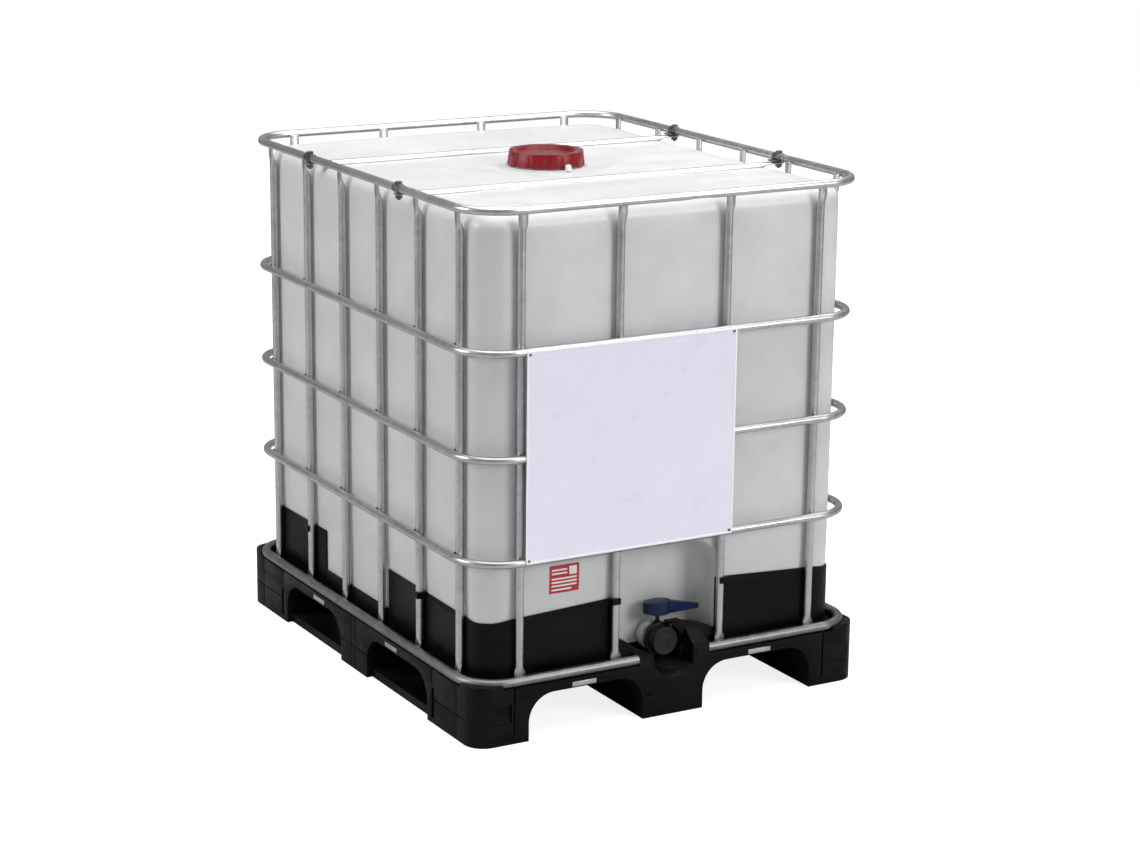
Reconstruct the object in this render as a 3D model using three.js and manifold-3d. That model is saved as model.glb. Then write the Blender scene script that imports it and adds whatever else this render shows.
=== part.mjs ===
// Intermediate bulk container of the 1000 litre class: a blow-moulded bottle in a cage of galvanised
// tube, standing on a moulded plastic pallet. Millimetres, +Z up. X runs along the valve face, the
// valve looks towards -Y, and the origin is on the floor under the middle of the pallet.
import * as THREE from "three";
import { mergeVertices } from "three/addons/utils/BufferGeometryUtils.js";
import Module from "manifold-3d";

const wasm = await Module();
wasm.setup();

// Overall sizes.
const HALF_WIDTH = 500;
const HALF_DEPTH = 600;
const GAP = 0.3;

// Pallet.
const PALLET_CORNER = 47;
const SPLIT_Z = 98;
const TUNNEL_ROOF = 104;
const LEDGE_Z = 125.7;
const SEAT_Z = 140;
const CORNER_PAD_Z = 143;
const CURB_Z = 172;
const RUNNER_HEIGHT = 20;
const RUNNER_INSET = 14;
const FRONT_TUNNEL = [78, 366];
const FRONT_TUNNEL_CORNER = 62;
const SIDE_TUNNEL = [70, 378];
const SIDE_TUNNEL_CORNER = 62;
const CHANNEL_HALF = 52;
const CHANNEL_FLOOR = 108;
const CHANNEL_BACK = -290;

// Cage.
const TUBE_RADIUS = 9;
const TUBE_SIDES = 8;
const BOTTOM_TUBE_RADIUS = 11;
const RING_X = 491;
const RING_Y = 589;
const RING_CORNER = 105;
const BOTTOM_RING_CORNER = 86;
const RING_STEPS = 20;
const BOTTOM_RING_Z = 137;
const RING_LEVELS = { low_ring: 402.5, mid_ring: 631.5, high_ring: 862, top_ring: 1163.5 };
const BOTTOM_RING_OPENING = [-88, 94];
const UPRIGHT_INSET = 2 * TUBE_RADIUS + GAP;
const UPRIGHT_X = RING_X - UPRIGHT_INSET;
const UPRIGHT_Y = RING_Y - UPRIGHT_INSET;
const SIDE_UPRIGHTS = [-480, -288, -96, 96, 288, 480];
const END_UPRIGHTS = [-375, -135.5, 135.5, 375];
const FOOT_WIDTH = 28;
const FOOT_TOP = 156;
const HEAD_WIDTH = 24;
const HEAD_TOP = 1162;

// Bars over the bottle and their bolts.
const BAR_Y = 230;
const BAR_Z = 1146;
const BAR_END = 468;
const BAR_TAB = [1148, 1154];
const BOLT_RADIUS = 4;
const BOLT_HOLE = 4.5;
const BOLT_HEAD = 8;

// Label plate on the front of the cage.
const PLATE_X = [-376, 146];
const PLATE_Z = [400, 866];
const PLATE_THICKNESS = 1.5;

// Bottle.
const WALL = 4;
const SKIN = 3.8;
const BOTTLE_X = UPRIGHT_X - TUBE_RADIUS - SKIN - 2 * GAP;
const BOTTLE_Y = UPRIGHT_Y - TUBE_RADIUS - SKIN - 2 * GAP;
const BOTTLE_CORNER = 60;
const BOTTLE_EDGE = 24;
const BOTTLE_TOP = 1143;
const POCKET_HALF = 130;
const POCKET_TOP = 377;
const POCKET_CORNER = 60;
const POCKET_BACK = -490;

// Corner guards.
const GUARD_TOP = 268;
const GUARD_FRONT_END = 129.5;
const GUARD_SIDE_ENDS = { front: -112, rear: 227 };
const TAB_BOTTOM = 254;
const TAB_UPRIGHTS = { x: 135.5, y: 288 };

// Filling neck and cap, on the bottle's vertical axis.
const NECK_OUTER = 80;
const NECK_BORE = 73;
const NECK_TOP = 1163.5;
const CAP_OUTER = 90;
const CAP_BORE = 82;
const CAP_BOTTOM = 1150;
const CAP_TOP = 1182;
const CAP_DISC = [1170.5, 1175.5];
const CAP_SIDES = 32;
const VALVE_SIDES = 24;

// Outlet valve, on a horizontal axis along Y.
const VALVE_Z = 158;
const STEM_Y = -527;
const OUTLET_OUTER = 30;
const OUTLET_BORE = 20;
const OUTLET_END = -503;
const NUT_RADIUS = 40;
const VALVE_NECK = 21;
const BALL_RADIUS = 19;
const BALL_ROOM = 19.8;
const BALL_BORE = 12;
const HOUSING_RADIUS = 30;
const COLLAR_RADIUS = 38;
const COLLAR_DEPTH = 7;
const SPOUT_RADIUS = 27;
const SPOUT_BORE = 20;
const SPOUT_END = -558;
const DUST_CAP_RADIUS = 33;
const DUST_CAP_FRONT = -564;
const DUST_CAP_DEPTH = 25;
const STEM_RADIUS = 5;
const STEM_BOSS_RADIUS = 8.5;
const HUB_RADIUS = 31;
const HANDLE_BOTTOM = 213;
const HANDLE_TOP = 243;
const HANDLE_TIP_X = 107;

// Finishes.
const BLACK_PLASTIC = { color: 0x1d1e20, roughness: 0.6, metalness: 0 };
const GALVANISED = { color: 0x9a9da1, roughness: 0.38, metalness: 1 };
const BOTTLE_PLASTIC = { color: 0xe4e6e8, roughness: 0.42, metalness: 0 };
const RED_PLASTIC = { color: 0x9c1822, roughness: 0.45, metalness: 0 };
const BLUE_PLASTIC = { color: 0x1d3577, roughness: 0.4, metalness: 0 };
const PLATE_STEEL = { color: 0xdcdcea, roughness: 0.35, metalness: 0.2 };
const RUBBER = { color: 0x2a2a2c, roughness: 0.8, metalness: 0 };
const PALE_PLASTIC = { color: 0xd8dadb, roughness: 0.5, metalness: 0 };

// A three.js geometry as a closed solid whose faces look outwards.
function solid(geometry) {
  const bare = geometry.clone();
  bare.deleteAttribute("normal");
  bare.deleteAttribute("uv");
  const merged = mergeVertices(bare, 1e-3);
  const place = merged.attributes.position;
  const corner = new THREE.Vector3();
  const second = new THREE.Vector3();
  const third = new THREE.Vector3();
  const faces = [];
  let volume = 0;
  for (let i = 0; i < merged.index.count; i += 3) {
    const [a, b, c] = [0, 1, 2].map((k) => merged.index.getX(i + k));
    if (a === b || b === c || c === a) continue;
    faces.push([a, b, c]);
    corner.fromBufferAttribute(place, a);
    second.fromBufferAttribute(place, b);
    third.fromBufferAttribute(place, c);
    volume += corner.dot(second.cross(third));
  }
  const outward = volume < 0 ? faces.map(([a, b, c]) => [a, c, b]) : faces;
  return new wasm.Manifold(
    new wasm.Mesh({
      numProp: 3,
      vertProperties: place.array,
      triVerts: new Uint32Array(outward.flat()),
    }),
  );
}

// A box from its lowest to its highest corner.
function box(x0, x1, y0, y1, z0, z1) {
  const shape = new THREE.BoxGeometry(x1 - x0, y1 - y0, z1 - z0);
  return solid(shape.translate((x0 + x1) / 2, (y0 + y1) / 2, (z0 + z1) / 2));
}

// An outline pushed from one place to another along an axis. Along Z the outline is seen from above
// as (x, y), along Y from the front as (x, z), and along X from the right as (y, z).
function push(outline, axis, from, to, options = {}) {
  const shape = new THREE.ExtrudeGeometry(outline, {
    depth: to - from,
    bevelEnabled: false,
    curveSegments: 6,
    ...options,
  });
  if (axis === "z") return solid(shape.translate(0, 0, from));
  const turn = new THREE.Matrix4();
  if (axis === "y") {
    shape.translate(0, 0, -to);
    turn.makeBasis(new THREE.Vector3(1, 0, 0), new THREE.Vector3(0, 0, 1), new THREE.Vector3(0, -1, 0));
  } else {
    shape.translate(0, 0, from);
    turn.makeBasis(new THREE.Vector3(0, 1, 0), new THREE.Vector3(0, 0, 1), new THREE.Vector3(1, 0, 0));
  }
  return solid(shape.applyMatrix4(turn));
}

// A round bar along an axis, centred at (u, v) on the other two axes in X, Y, Z order.
function bar(axis, radius, u, v, from, to, sides = VALVE_SIDES) {
  const shape = new THREE.CylinderGeometry(radius, radius, to - from, sides);
  const middle = (from + to) / 2;
  if (axis === "z") return solid(shape.rotateX(Math.PI / 2).translate(u, v, middle));
  if (axis === "y") return solid(shape.translate(u, middle, v));
  return solid(shape.rotateZ(Math.PI / 2).translate(middle, u, v));
}

// A turned shape from a profile of [radius, height] points, upright about the origin.
function turned(profile, sides = CAP_SIDES) {
  const points = profile.map(([r, z]) => new THREE.Vector2(r, z));
  return new THREE.LatheGeometry(points, sides).rotateX(Math.PI / 2);
}

// A rectangle with round corners about the origin.
function roundedRectangle(halfX, halfY, radius) {
  const outline = new THREE.Shape();
  outline.moveTo(halfX, -halfY + radius);
  outline.lineTo(halfX, halfY - radius);
  outline.absarc(halfX - radius, halfY - radius, radius, 0, Math.PI / 2);
  outline.lineTo(-halfX + radius, halfY);
  outline.absarc(-halfX + radius, halfY - radius, radius, Math.PI / 2, Math.PI);
  outline.lineTo(-halfX, -halfY + radius);
  outline.absarc(-halfX + radius, -halfY + radius, radius, Math.PI, 1.5 * Math.PI);
  outline.lineTo(halfX - radius, -halfY);
  outline.absarc(halfX - radius, -halfY + radius, radius, 1.5 * Math.PI, 2 * Math.PI);
  return outline;
}

// A doorway outline: square at the foot, round at both upper corners.
function archway(left, right, foot, top, radius) {
  const outline = new THREE.Shape();
  outline.moveTo(left, foot);
  outline.lineTo(right, foot);
  outline.lineTo(right, top - radius);
  outline.absarc(right - radius, top - radius, radius, 0, Math.PI / 2);
  outline.lineTo(left + radius, top);
  outline.absarc(left + radius, top - radius, radius, Math.PI / 2, Math.PI);
  outline.lineTo(left, foot);
  return outline;
}

function polygon(points) {
  return new THREE.Shape(points.map(([u, v]) => new THREE.Vector2(u, v)));
}

const container = new THREE.Group();

// Adds a named piece with its own finish to the container.
function piece(name, shape, finish) {
  const { vertProperties, triVerts } = shape.getMesh();
  const geometry = new THREE.BufferGeometry();
  geometry.setAttribute("position", new THREE.BufferAttribute(new Float32Array(vertProperties), 3));
  geometry.setIndex(new THREE.BufferAttribute(new Uint32Array(triVerts), 1));
  geometry.computeVertexNormals();
  const mesh = new THREE.Mesh(geometry, new THREE.MeshStandardMaterial(finish));
  mesh.name = name;
  container.add(mesh);
}

// The whole pallet below the ledge, with its fork tunnels, before it is parted into deck and skids.
function palletBlock() {
  let block = push(roundedRectangle(HALF_WIDTH, HALF_DEPTH, PALLET_CORNER), "z", 0, LEDGE_Z);
  const [near, far] = FRONT_TUNNEL;
  const [first, last] = SIDE_TUNNEL;
  for (const side of [-1, 1]) {
    const ends = [side * near, side * far].sort((a, b) => a - b);
    const tunnel = archway(...ends, -1, TUNNEL_ROOF, FRONT_TUNNEL_CORNER);
    block = block.subtract(push(tunnel, "y", -HALF_DEPTH - 1, HALF_DEPTH + 1));
    const stops = [side * first, side * last].sort((a, b) => a - b);
    const crossing = archway(...stops, RUNNER_HEIGHT, TUNNEL_ROOF, SIDE_TUNNEL_CORNER);
    block = block.subtract(push(crossing, "x", -HALF_WIDTH - 1, HALF_WIDTH + 1));
    for (const edge of [-1, 1]) {
      const faces = [edge * (HALF_WIDTH - RUNNER_INSET), edge * (HALF_WIDTH + 1)].sort((a, b) => a - b);
      block = block.subtract(box(...faces, ...stops, -1, RUNNER_HEIGHT + 1));
    }
  }
  return block;
}

// The deck: ledge for the bottom ring, raised seat, corner pads, curbs and the valve channel.
function palletDeck(block) {
  const all = [-HALF_WIDTH - 1, HALF_WIDTH + 1, -HALF_DEPTH - 1, HALF_DEPTH + 1];
  let deck = block.intersect(box(...all, SPLIT_Z + GAP / 2, LEDGE_Z + 1));
  const seatX = UPRIGHT_X - TUBE_RADIUS - GAP;
  const seatY = UPRIGHT_Y - TUBE_RADIUS - GAP;
  const seat = roundedRectangle(seatX, seatY, BOTTLE_CORNER + SKIN);
  deck = deck.add(push(seat, "z", LEDGE_Z - 1, SEAT_Z));
  const plan = roundedRectangle(HALF_WIDTH, HALF_DEPTH, PALLET_CORNER);
  const pads = push(plan, "z", LEDGE_Z - 1, CORNER_PAD_Z);
  const room = BOTTOM_TUBE_RADIUS + 3;
  const ringRoom = roundedRectangle(RING_X + room, RING_Y + room, BOTTOM_RING_CORNER + room);
  deck = deck.add(pads.subtract(push(ringRoom, "z", LEDGE_Z - 2, CORNER_PAD_Z + 1)));
  for (const side of [-1, 1]) {
    const faces = [side * (seatX - SKIN), side * seatX].sort((a, b) => a - b);
    const ends = [GUARD_SIDE_ENDS.front + 2, GUARD_SIDE_ENDS.rear - 2];
    deck = deck.add(box(...faces, ...ends, SEAT_Z - 1, CURB_Z));
  }
  const rearFaces = [seatY - SKIN, seatY];
  deck = deck.add(box(-GUARD_FRONT_END + 2, GUARD_FRONT_END - 2, ...rearFaces, SEAT_Z - 1, CURB_Z));
  deck = deck.subtract(
    box(-CHANNEL_HALF, CHANNEL_HALF, -HALF_DEPTH - 1, CHANNEL_BACK, CHANNEL_FLOOR, CURB_Z + 1),
  );
  return deck.add(valveSaddle(seatY));
}

// Walls on both sides of the valve, which also take the open ends of the bottom ring.
function valveSaddle(seatY) {
  const end = GUARD_FRONT_END - GAP;
  const crown = 195;
  const sweep = 200;
  const inner = COLLAR_RADIUS + 2;
  const foot = LEDGE_Z - 2;
  const arch = [];
  for (let i = 0; i <= 6; i++) {
    const x = inner + ((end - inner) * i) / 6;
    arch.push([x, crown - (x - 27) ** 2 / (2 * sweep)]);
  }
  const right = polygon([[inner, CHANNEL_FLOOR - 2], ...arch, [end, foot], [CHANNEL_HALF, foot]]);
  const left = polygon([
    [-end, foot],
    [-CHANNEL_HALF, foot],
    [-CHANNEL_HALF, 136],
    [-62, 142],
    [-106, 176],
    [-end, 178],
  ]);
  const walls = push(right, "y", -seatY, -seatY + 26).add(push(left, "y", -seatY, -seatY + 26));
  const [openLeft, openRight] = BOTTOM_RING_OPENING;
  const front = [-HALF_DEPTH + 1, -seatY + 1];
  const leftRest = box(openLeft + GAP, -CHANNEL_HALF, ...front, foot, 146);
  const rightRest = box(CHANNEL_HALF, openRight - GAP, ...front, foot, 150);
  return walls.add(leftRest).add(rightRest);
}

function pallet() {
  const block = palletBlock();
  let deck = palletDeck(block);
  for (const clip of clipPlaces()) {
    const [x0, x1, y0, y1, z0, z1] = clip;
    deck = deck.subtract(box(x0 - GAP, x1 + GAP, y0 - GAP, y1 + GAP, z0 - GAP, z1 + GAP));
  }
  piece("pallet_deck", deck, BLACK_PLASTIC);
  const low = block.intersect(box(-600, 600, -700, 700, -1, SPLIT_Z - GAP / 2));
  const parting = (FRONT_TUNNEL[0] + FRONT_TUNNEL[1]) / 2;
  const spans = {
    skid_left: [-600, -parting],
    skid_centre: [-parting, parting],
    skid_right: [parting, 600],
  };
  for (const [name, span] of Object.entries(spans)) {
    piece(name, low.intersect(box(...span, -700, 700, -1, SPLIT_Z)), BLACK_PLASTIC);
  }
}

// Galvanised clips let into the pallet's edge over each fork opening.
function clipPlaces() {
  const length = 60;
  const depth = 2.4;
  const foot = 106;
  const top = 117;
  const places = [];
  for (const side of [-1, 1]) {
    for (const centre of [-228, 228]) {
      const faces = [side * (HALF_DEPTH - depth), side * HALF_DEPTH].sort((a, b) => a - b);
      places.push([centre - length / 2, centre + length / 2, ...faces, foot, top]);
    }
    for (const centre of [-194, 194]) {
      const faces = [side * (HALF_WIDTH - depth), side * HALF_WIDTH].sort((a, b) => a - b);
      places.push([...faces, centre - length / 2, centre + length / 2, foot, top]);
    }
  }
  return places;
}

function cageClips() {
  clipPlaces().forEach((place, i) => piece("cage_clip_" + (i + 1), box(...place), GALVANISED));
}

// A closed ring of tube with round corners: a torus whose four quarters are moved apart.
function tubeRing(tubeRadius, corner, height) {
  const step = (2 * Math.PI) / RING_STEPS;
  const radius = corner / Math.cos(step / 2);
  const torus = new THREE.TorusGeometry(radius, tubeRadius, TUBE_SIDES, RING_STEPS).rotateZ(step / 2);
  const place = torus.attributes.position;
  for (let i = 0; i < place.count; i++) {
    const [x, y] = [place.getX(i), place.getY(i)];
    place.setX(i, x + Math.sign(x) * (RING_X - corner));
    place.setY(i, y + Math.sign(y) * (RING_Y - corner));
  }
  return solid(torus.translate(0, 0, height));
}

function rings() {
  const [left, right] = BOTTOM_RING_OPENING;
  const opening = box(left, right, -HALF_DEPTH - 5, -HALF_DEPTH + 40, 100, 180);
  const bottomRing = tubeRing(BOTTOM_TUBE_RADIUS, BOTTOM_RING_CORNER, BOTTOM_RING_Z);
  piece("bottom_ring", bottomRing.subtract(opening), GALVANISED);
  for (const [name, height] of Object.entries(RING_LEVELS)) {
    let ring = tubeRing(TUBE_RADIUS, RING_CORNER, height);
    if (name === "top_ring") {
      for (const [x, y] of boltPlaces()) {
        ring = ring.subtract(bar("z", BOLT_HOLE, x, y, height - 20, height + 20, TUBE_SIDES));
      }
    }
    piece(name, ring, GALVANISED);
  }
}

// An upright with a flattened foot behind the bottom ring and a flattened head behind the top ring.
// The ring lies towards outX or outY, and the flats lie across it.
function upright(x, y, outX, outY) {
  const foot = LEDGE_Z + GAP;
  const tube = bar("z", TUBE_RADIUS, x, y, foot + 16, HEAD_TOP - 16, TUBE_SIDES);
  const thick = 3;
  const flat = (width, reach, z0, z1) => {
    const half = width / 2;
    const [nearX, nearY] = [x + outX * reach, y + outY * reach];
    return outX
      ? box(nearX - thick, nearX + thick, y - half, y + half, z0, z1)
      : box(x - half, x + half, nearY - thick, nearY + thick, z0, z1);
  };
  const footReach = UPRIGHT_INSET - BOTTOM_TUBE_RADIUS - GAP - thick;
  const headReach = UPRIGHT_INSET - TUBE_RADIUS - GAP - thick;
  const footFlat = flat(FOOT_WIDTH, footReach, foot, FOOT_TOP);
  return tube.add(footFlat).add(flat(HEAD_WIDTH, headReach, HEAD_TOP - 26, HEAD_TOP));
}

function uprights() {
  SIDE_UPRIGHTS.forEach((y, i) => {
    piece("left_upright_" + (i + 1), upright(-UPRIGHT_X, y, -1, 0), GALVANISED);
    piece("right_upright_" + (i + 1), upright(UPRIGHT_X, y, 1, 0), GALVANISED);
  });
  END_UPRIGHTS.forEach((x, i) => {
    piece("front_upright_" + (i + 1), upright(x, -UPRIGHT_Y, 0, -1), GALVANISED);
    piece("rear_upright_" + (i + 1), upright(x, UPRIGHT_Y, 0, 1), GALVANISED);
  });
}

function boltPlaces() {
  return [-1, 1].flatMap((side) => [-1, 1].map((end) => [end * RING_X, side * BAR_Y]));
}

// Two bars over the bottle, flattened and drilled at both ends, bolted under the top ring.
function crossBars() {
  for (const [name, side] of [["cross_bar_front", -1], ["cross_bar_rear", 1]]) {
    const y = side * BAR_Y;
    let rod = bar("x", TUBE_RADIUS, y, BAR_Z, -BAR_END, BAR_END, TUBE_SIDES);
    for (const end of [-1, 1]) {
      const reach = [end * (BAR_END - 12), end * (RING_X + TUBE_RADIUS)].sort((a, b) => a - b);
      rod = rod.add(box(...reach, y - 12, y + 12, ...BAR_TAB));
      rod = rod.subtract(bar("z", BOLT_HOLE, end * RING_X, y, 1120, 1180, TUBE_SIDES));
    }
    piece(name, rod, GALVANISED);
  }
  boltPlaces().forEach(([x, y], i) => {
    const top = RING_LEVELS.top_ring + TUBE_RADIUS + GAP;
    const shank = bar("z", BOLT_RADIUS, x, y, BAR_TAB[0] - 10, top + 3, TUBE_SIDES);
    const head = bar("z", BOLT_HEAD, x, y, top, top + 5.5, 6);
    const nut = bar("z", BOLT_HEAD, x, y, BAR_TAB[0] - GAP - 6.5, BAR_TAB[0] - GAP, 6);
    piece("cross_bar_bolt_" + (i + 1), shank.add(head).add(nut), GALVANISED);
  });
}

// A thin cup round one lower corner of the bottle, with a tab that hooks an upright on each face.
function cornerGuard(sideX, sideY) {
  const outer = roundedRectangle(BOTTLE_X + GAP + SKIN, BOTTLE_Y + GAP + SKIN, BOTTLE_CORNER + SKIN);
  const inner = roundedRectangle(BOTTLE_X + GAP, BOTTLE_Y + GAP, BOTTLE_CORNER);
  const foot = SEAT_Z + GAP;
  const band = push(outer, "z", foot, GUARD_TOP).subtract(push(inner, "z", foot - 1, GUARD_TOP + 1));
  const reach = sideY < 0 ? GUARD_SIDE_ENDS.front : GUARD_SIDE_ENDS.rear;
  const spanX = [sideX * GUARD_FRONT_END, sideX * HALF_WIDTH].sort((a, b) => a - b);
  const spanY = [reach, sideY * HALF_DEPTH].sort((a, b) => a - b);
  return band
    .intersect(box(...spanX, ...spanY, 0, GUARD_TOP + 1))
    .add(guardTab("y", sideX * TAB_UPRIGHTS.x, sideY, sideX))
    .add(guardTab("x", sideY * TAB_UPRIGHTS.y, sideX, sideY));
}

// A tab beside an upright, from the guard's face out and round the front of the tube.
function guardTab(axis, along, face, away) {
  const skinFace = (axis === "y" ? UPRIGHT_Y : UPRIGHT_X) - TUBE_RADIUS - GAP;
  const front = (axis === "y" ? UPRIGHT_Y : UPRIGHT_X) + TUBE_RADIUS + GAP;
  const gapSide = along + away * (TUBE_RADIUS + GAP);
  const stem = [gapSide, gapSide + away * 4].sort((a, b) => a - b);
  const hook = [along - away * 7, gapSide + away * 4].sort((a, b) => a - b);
  const depth = [face * (skinFace - SKIN), face * (front + 3)].sort((a, b) => a - b);
  const cover = [face * front, face * (front + 3)].sort((a, b) => a - b);
  const zs = [TAB_BOTTOM, GUARD_TOP];
  return axis === "y"
    ? box(...stem, ...depth, ...zs).add(box(...hook, ...cover, ...zs))
    : box(...depth, ...stem, ...zs).add(box(...cover, ...hook, ...zs));
}

function cornerGuards() {
  for (const [end, sideY] of [["front", -1], ["rear", 1]]) {
    for (const [hand, sideX] of [["left", -1], ["right", 1]]) {
      piece("corner_guard_" + end + "_" + hand, cornerGuard(sideX, sideY), BLACK_PLASTIC);
    }
  }
}

// The bottle's body at a given inset from its outer skin, with its valve pocket, bar grooves and sump.
function bottleBody(inset) {
  const foot = SEAT_Z + GAP + inset;
  const top = BOTTLE_TOP - inset;
  const edge = BOTTLE_EDGE - inset;
  const outline = roundedRectangle(
    BOTTLE_X - BOTTLE_EDGE,
    BOTTLE_Y - BOTTLE_EDGE,
    BOTTLE_CORNER - BOTTLE_EDGE,
  );
  let body = push(outline, "z", foot + edge, top - edge, {
    bevelEnabled: true,
    bevelThickness: edge,
    bevelSize: edge,
    bevelSegments: 3,
  });
  const half = POCKET_HALF + inset;
  const pocket = archway(-half, half, 0, POCKET_TOP + inset, POCKET_CORNER + inset);
  body = body.subtract(push(pocket, "y", -HALF_DEPTH - 10, POCKET_BACK + inset));
  for (const side of [-1, 1]) {
    const groove = bar("x", TUBE_RADIUS + 1 + inset, side * BAR_Y, BAR_Z, -HALF_WIDTH, HALF_WIDTH, 16);
    body = body.subtract(groove);
  }
  const sump = bar("y", 46 - inset, 0, VALVE_Z, POCKET_BACK + inset, -300 - inset);
  return body.add(sump);
}

function bottle() {
  const neck = bar("z", NECK_OUTER, 0, 0, BOTTLE_TOP - 2, NECK_TOP, CAP_SIDES);
  const outlet = bar("y", OUTLET_OUTER, 0, VALVE_Z, OUTLET_END, POCKET_BACK + 2);
  const shell = bottleBody(0).add(neck).add(outlet).subtract(bottleBody(WALL));
  const neckBore = bar("z", NECK_BORE, 0, 0, BOTTLE_TOP - 20, NECK_TOP + 1, CAP_SIDES);
  const outletBore = bar("y", OUTLET_BORE, 0, VALVE_Z, OUTLET_END - 1, POCKET_BACK + 20);
  piece("bottle", shell.subtract(neckBore).subtract(outletBore), BOTTLE_PLASTIC);
}

// Filling closure: gasket on the neck, liner disc, and the screw cap with a raised rim.
function fillClosure() {
  const seal = turned([
    [NECK_BORE, NECK_TOP + GAP],
    [NECK_OUTER, NECK_TOP + GAP],
    [NECK_OUTER, NECK_TOP + 3],
    [NECK_BORE, NECK_TOP + 3],
    [NECK_BORE, NECK_TOP + GAP],
  ]);
  piece("fill_cap_seal", solid(seal), RUBBER);
  const liner = bar("z", NECK_OUTER, 0, 0, NECK_TOP + 3 + GAP, CAP_DISC[0] - GAP, CAP_SIDES);
  piece("fill_cap_liner", liner, PALE_PLASTIC);
  const cap = turned([
    [0, CAP_DISC[0]],
    [CAP_BORE, CAP_DISC[0]],
    [CAP_BORE, CAP_BOTTOM],
    [CAP_OUTER, CAP_BOTTOM],
    [CAP_OUTER, CAP_TOP - 5],
    [CAP_OUTER - 5, CAP_TOP],
    [CAP_OUTER - 24, CAP_TOP],
    [CAP_OUTER - 30, CAP_DISC[1]],
    [0, CAP_DISC[1]],
  ]);
  piece("fill_cap", solid(cap), RED_PLASTIC);
}

// A turned shape laid along the valve's axis: its height becomes the distance in front of y = 0.
function turnedAlongValve(profile) {
  const points = profile.map(([r, y]) => new THREE.Vector2(r, y));
  return solid(new THREE.LatheGeometry(points, VALVE_SIDES).translate(0, 0, VALVE_Z));
}

// A ball on the valve's stem axis, with its poles up and down, so that it turns freely in its room.
function ballOfRadius(radius) {
  const ball = new THREE.SphereGeometry(radius, 16, 12).rotateX(Math.PI / 2);
  return solid(ball.translate(0, STEM_Y, VALVE_Z));
}

// Outlet valve: gasket, union nut, body, ball, stem and quarter-turn handle.
function outletValve() {
  const sealBack = OUTLET_END - GAP;
  const sealFront = sealBack - 3;
  const flangeBack = sealFront - GAP;
  const flangeFront = flangeBack - 5;
  const seal = [[OUTLET_BORE, sealBack], [OUTLET_OUTER, sealBack], [OUTLET_OUTER, sealFront]];
  seal.push([OUTLET_BORE, sealFront], [OUTLET_BORE, sealBack]);
  piece("outlet_seal", turnedAlongValve(seal), RUBBER);

  const nutBack = POCKET_BACK - 4;
  const nutFront = flangeFront - 6;
  const nut = turnedAlongValve([
    [OUTLET_OUTER + 1, nutBack],
    [NUT_RADIUS, nutBack],
    [NUT_RADIUS, nutFront + 2],
    [NUT_RADIUS - 2, nutFront],
    [VALVE_NECK + 1, nutFront],
    [VALVE_NECK + 1, flangeFront - GAP],
    [OUTLET_OUTER + 1, flangeFront - GAP],
    [OUTLET_OUTER + 1, nutBack],
  ]);
  piece("valve_union_nut", nut, PALE_PLASTIC);

  const housingBack = nutFront - GAP;
  const collarFront = DUST_CAP_FRONT + DUST_CAP_DEPTH + GAP;
  const collarBack = collarFront + COLLAR_DEPTH;
  const housing = turnedAlongValve([
    [0, housingBack],
    [VALVE_NECK + 3, housingBack],
    [HOUSING_RADIUS, housingBack - 3],
    [HOUSING_RADIUS, collarBack],
    [COLLAR_RADIUS, collarBack - 1],
    [COLLAR_RADIUS, collarFront],
    [0, collarFront],
  ]);
  const stemBoss = bar("z", STEM_BOSS_RADIUS, 0, STEM_Y, VALVE_Z + BALL_RADIUS, HANDLE_BOTTOM - 18, 16);
  const body = housing
    .add(bar("y", OUTLET_OUTER - 0.2, 0, VALVE_Z, flangeFront, flangeBack))
    .add(bar("y", VALVE_NECK, 0, VALVE_Z, housingBack - 1, flangeFront + 2))
    .add(bar("y", SPOUT_RADIUS, 0, VALVE_Z, SPOUT_END, collarFront + 1))
    .add(stemBoss)
    .subtract(bar("y", BALL_BORE, 0, VALVE_Z, SPOUT_END - 1, flangeBack + 1, 16))
    .subtract(bar("y", SPOUT_BORE, 0, VALVE_Z, SPOUT_END - 1, SPOUT_END + 9))
    .subtract(ballOfRadius(BALL_ROOM))
    .subtract(bar("z", STEM_RADIUS + GAP, 0, STEM_Y, VALVE_Z, HANDLE_TOP, 16));
  piece("valve_body", body, BLACK_PLASTIC);

  const flatTop = VALVE_Z + BALL_RADIUS - 3;
  const ball = ballOfRadius(BALL_RADIUS)
    .subtract(bar("x", BALL_BORE - 2, STEM_Y, VALVE_Z, -40, 40, 16))
    .subtract(box(-40, 40, STEM_Y - 40, STEM_Y + 40, flatTop, flatTop + 20));
  piece("valve_ball", ball, PALE_PLASTIC);
  piece("valve_stem", bar("z", STEM_RADIUS, 0, STEM_Y, flatTop + GAP, HANDLE_TOP - 10, 16), BLACK_PLASTIC);

  const lever = polygon([
    [0, HANDLE_BOTTOM],
    [HANDLE_TIP_X, HANDLE_BOTTOM - 2],
    [HANDLE_TIP_X, HANDLE_BOTTOM + 8],
    [24, HANDLE_TOP - 2],
    [0, HANDLE_TOP - 1],
  ]);
  const plan = polygon([
    [0, STEM_Y - 18],
    [HANDLE_TIP_X - 7, STEM_Y - 9],
    [HANDLE_TIP_X, STEM_Y - 4],
    [HANDLE_TIP_X, STEM_Y + 4],
    [HANDLE_TIP_X - 7, STEM_Y + 9],
    [0, STEM_Y + 18],
  ]);
  const blade = push(lever, "y", STEM_Y - 30, STEM_Y + 30).intersect(push(plan, "z", 190, 250));
  const handle = bar("z", HUB_RADIUS, 0, STEM_Y, HANDLE_BOTTOM, HANDLE_TOP, 24)
    .add(blade)
    .subtract(bar("z", STEM_RADIUS + GAP, 0, STEM_Y, HANDLE_BOTTOM - 1, HANDLE_TOP - 9, 16));
  piece("valve_handle", handle, BLUE_PLASTIC);
}

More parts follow.
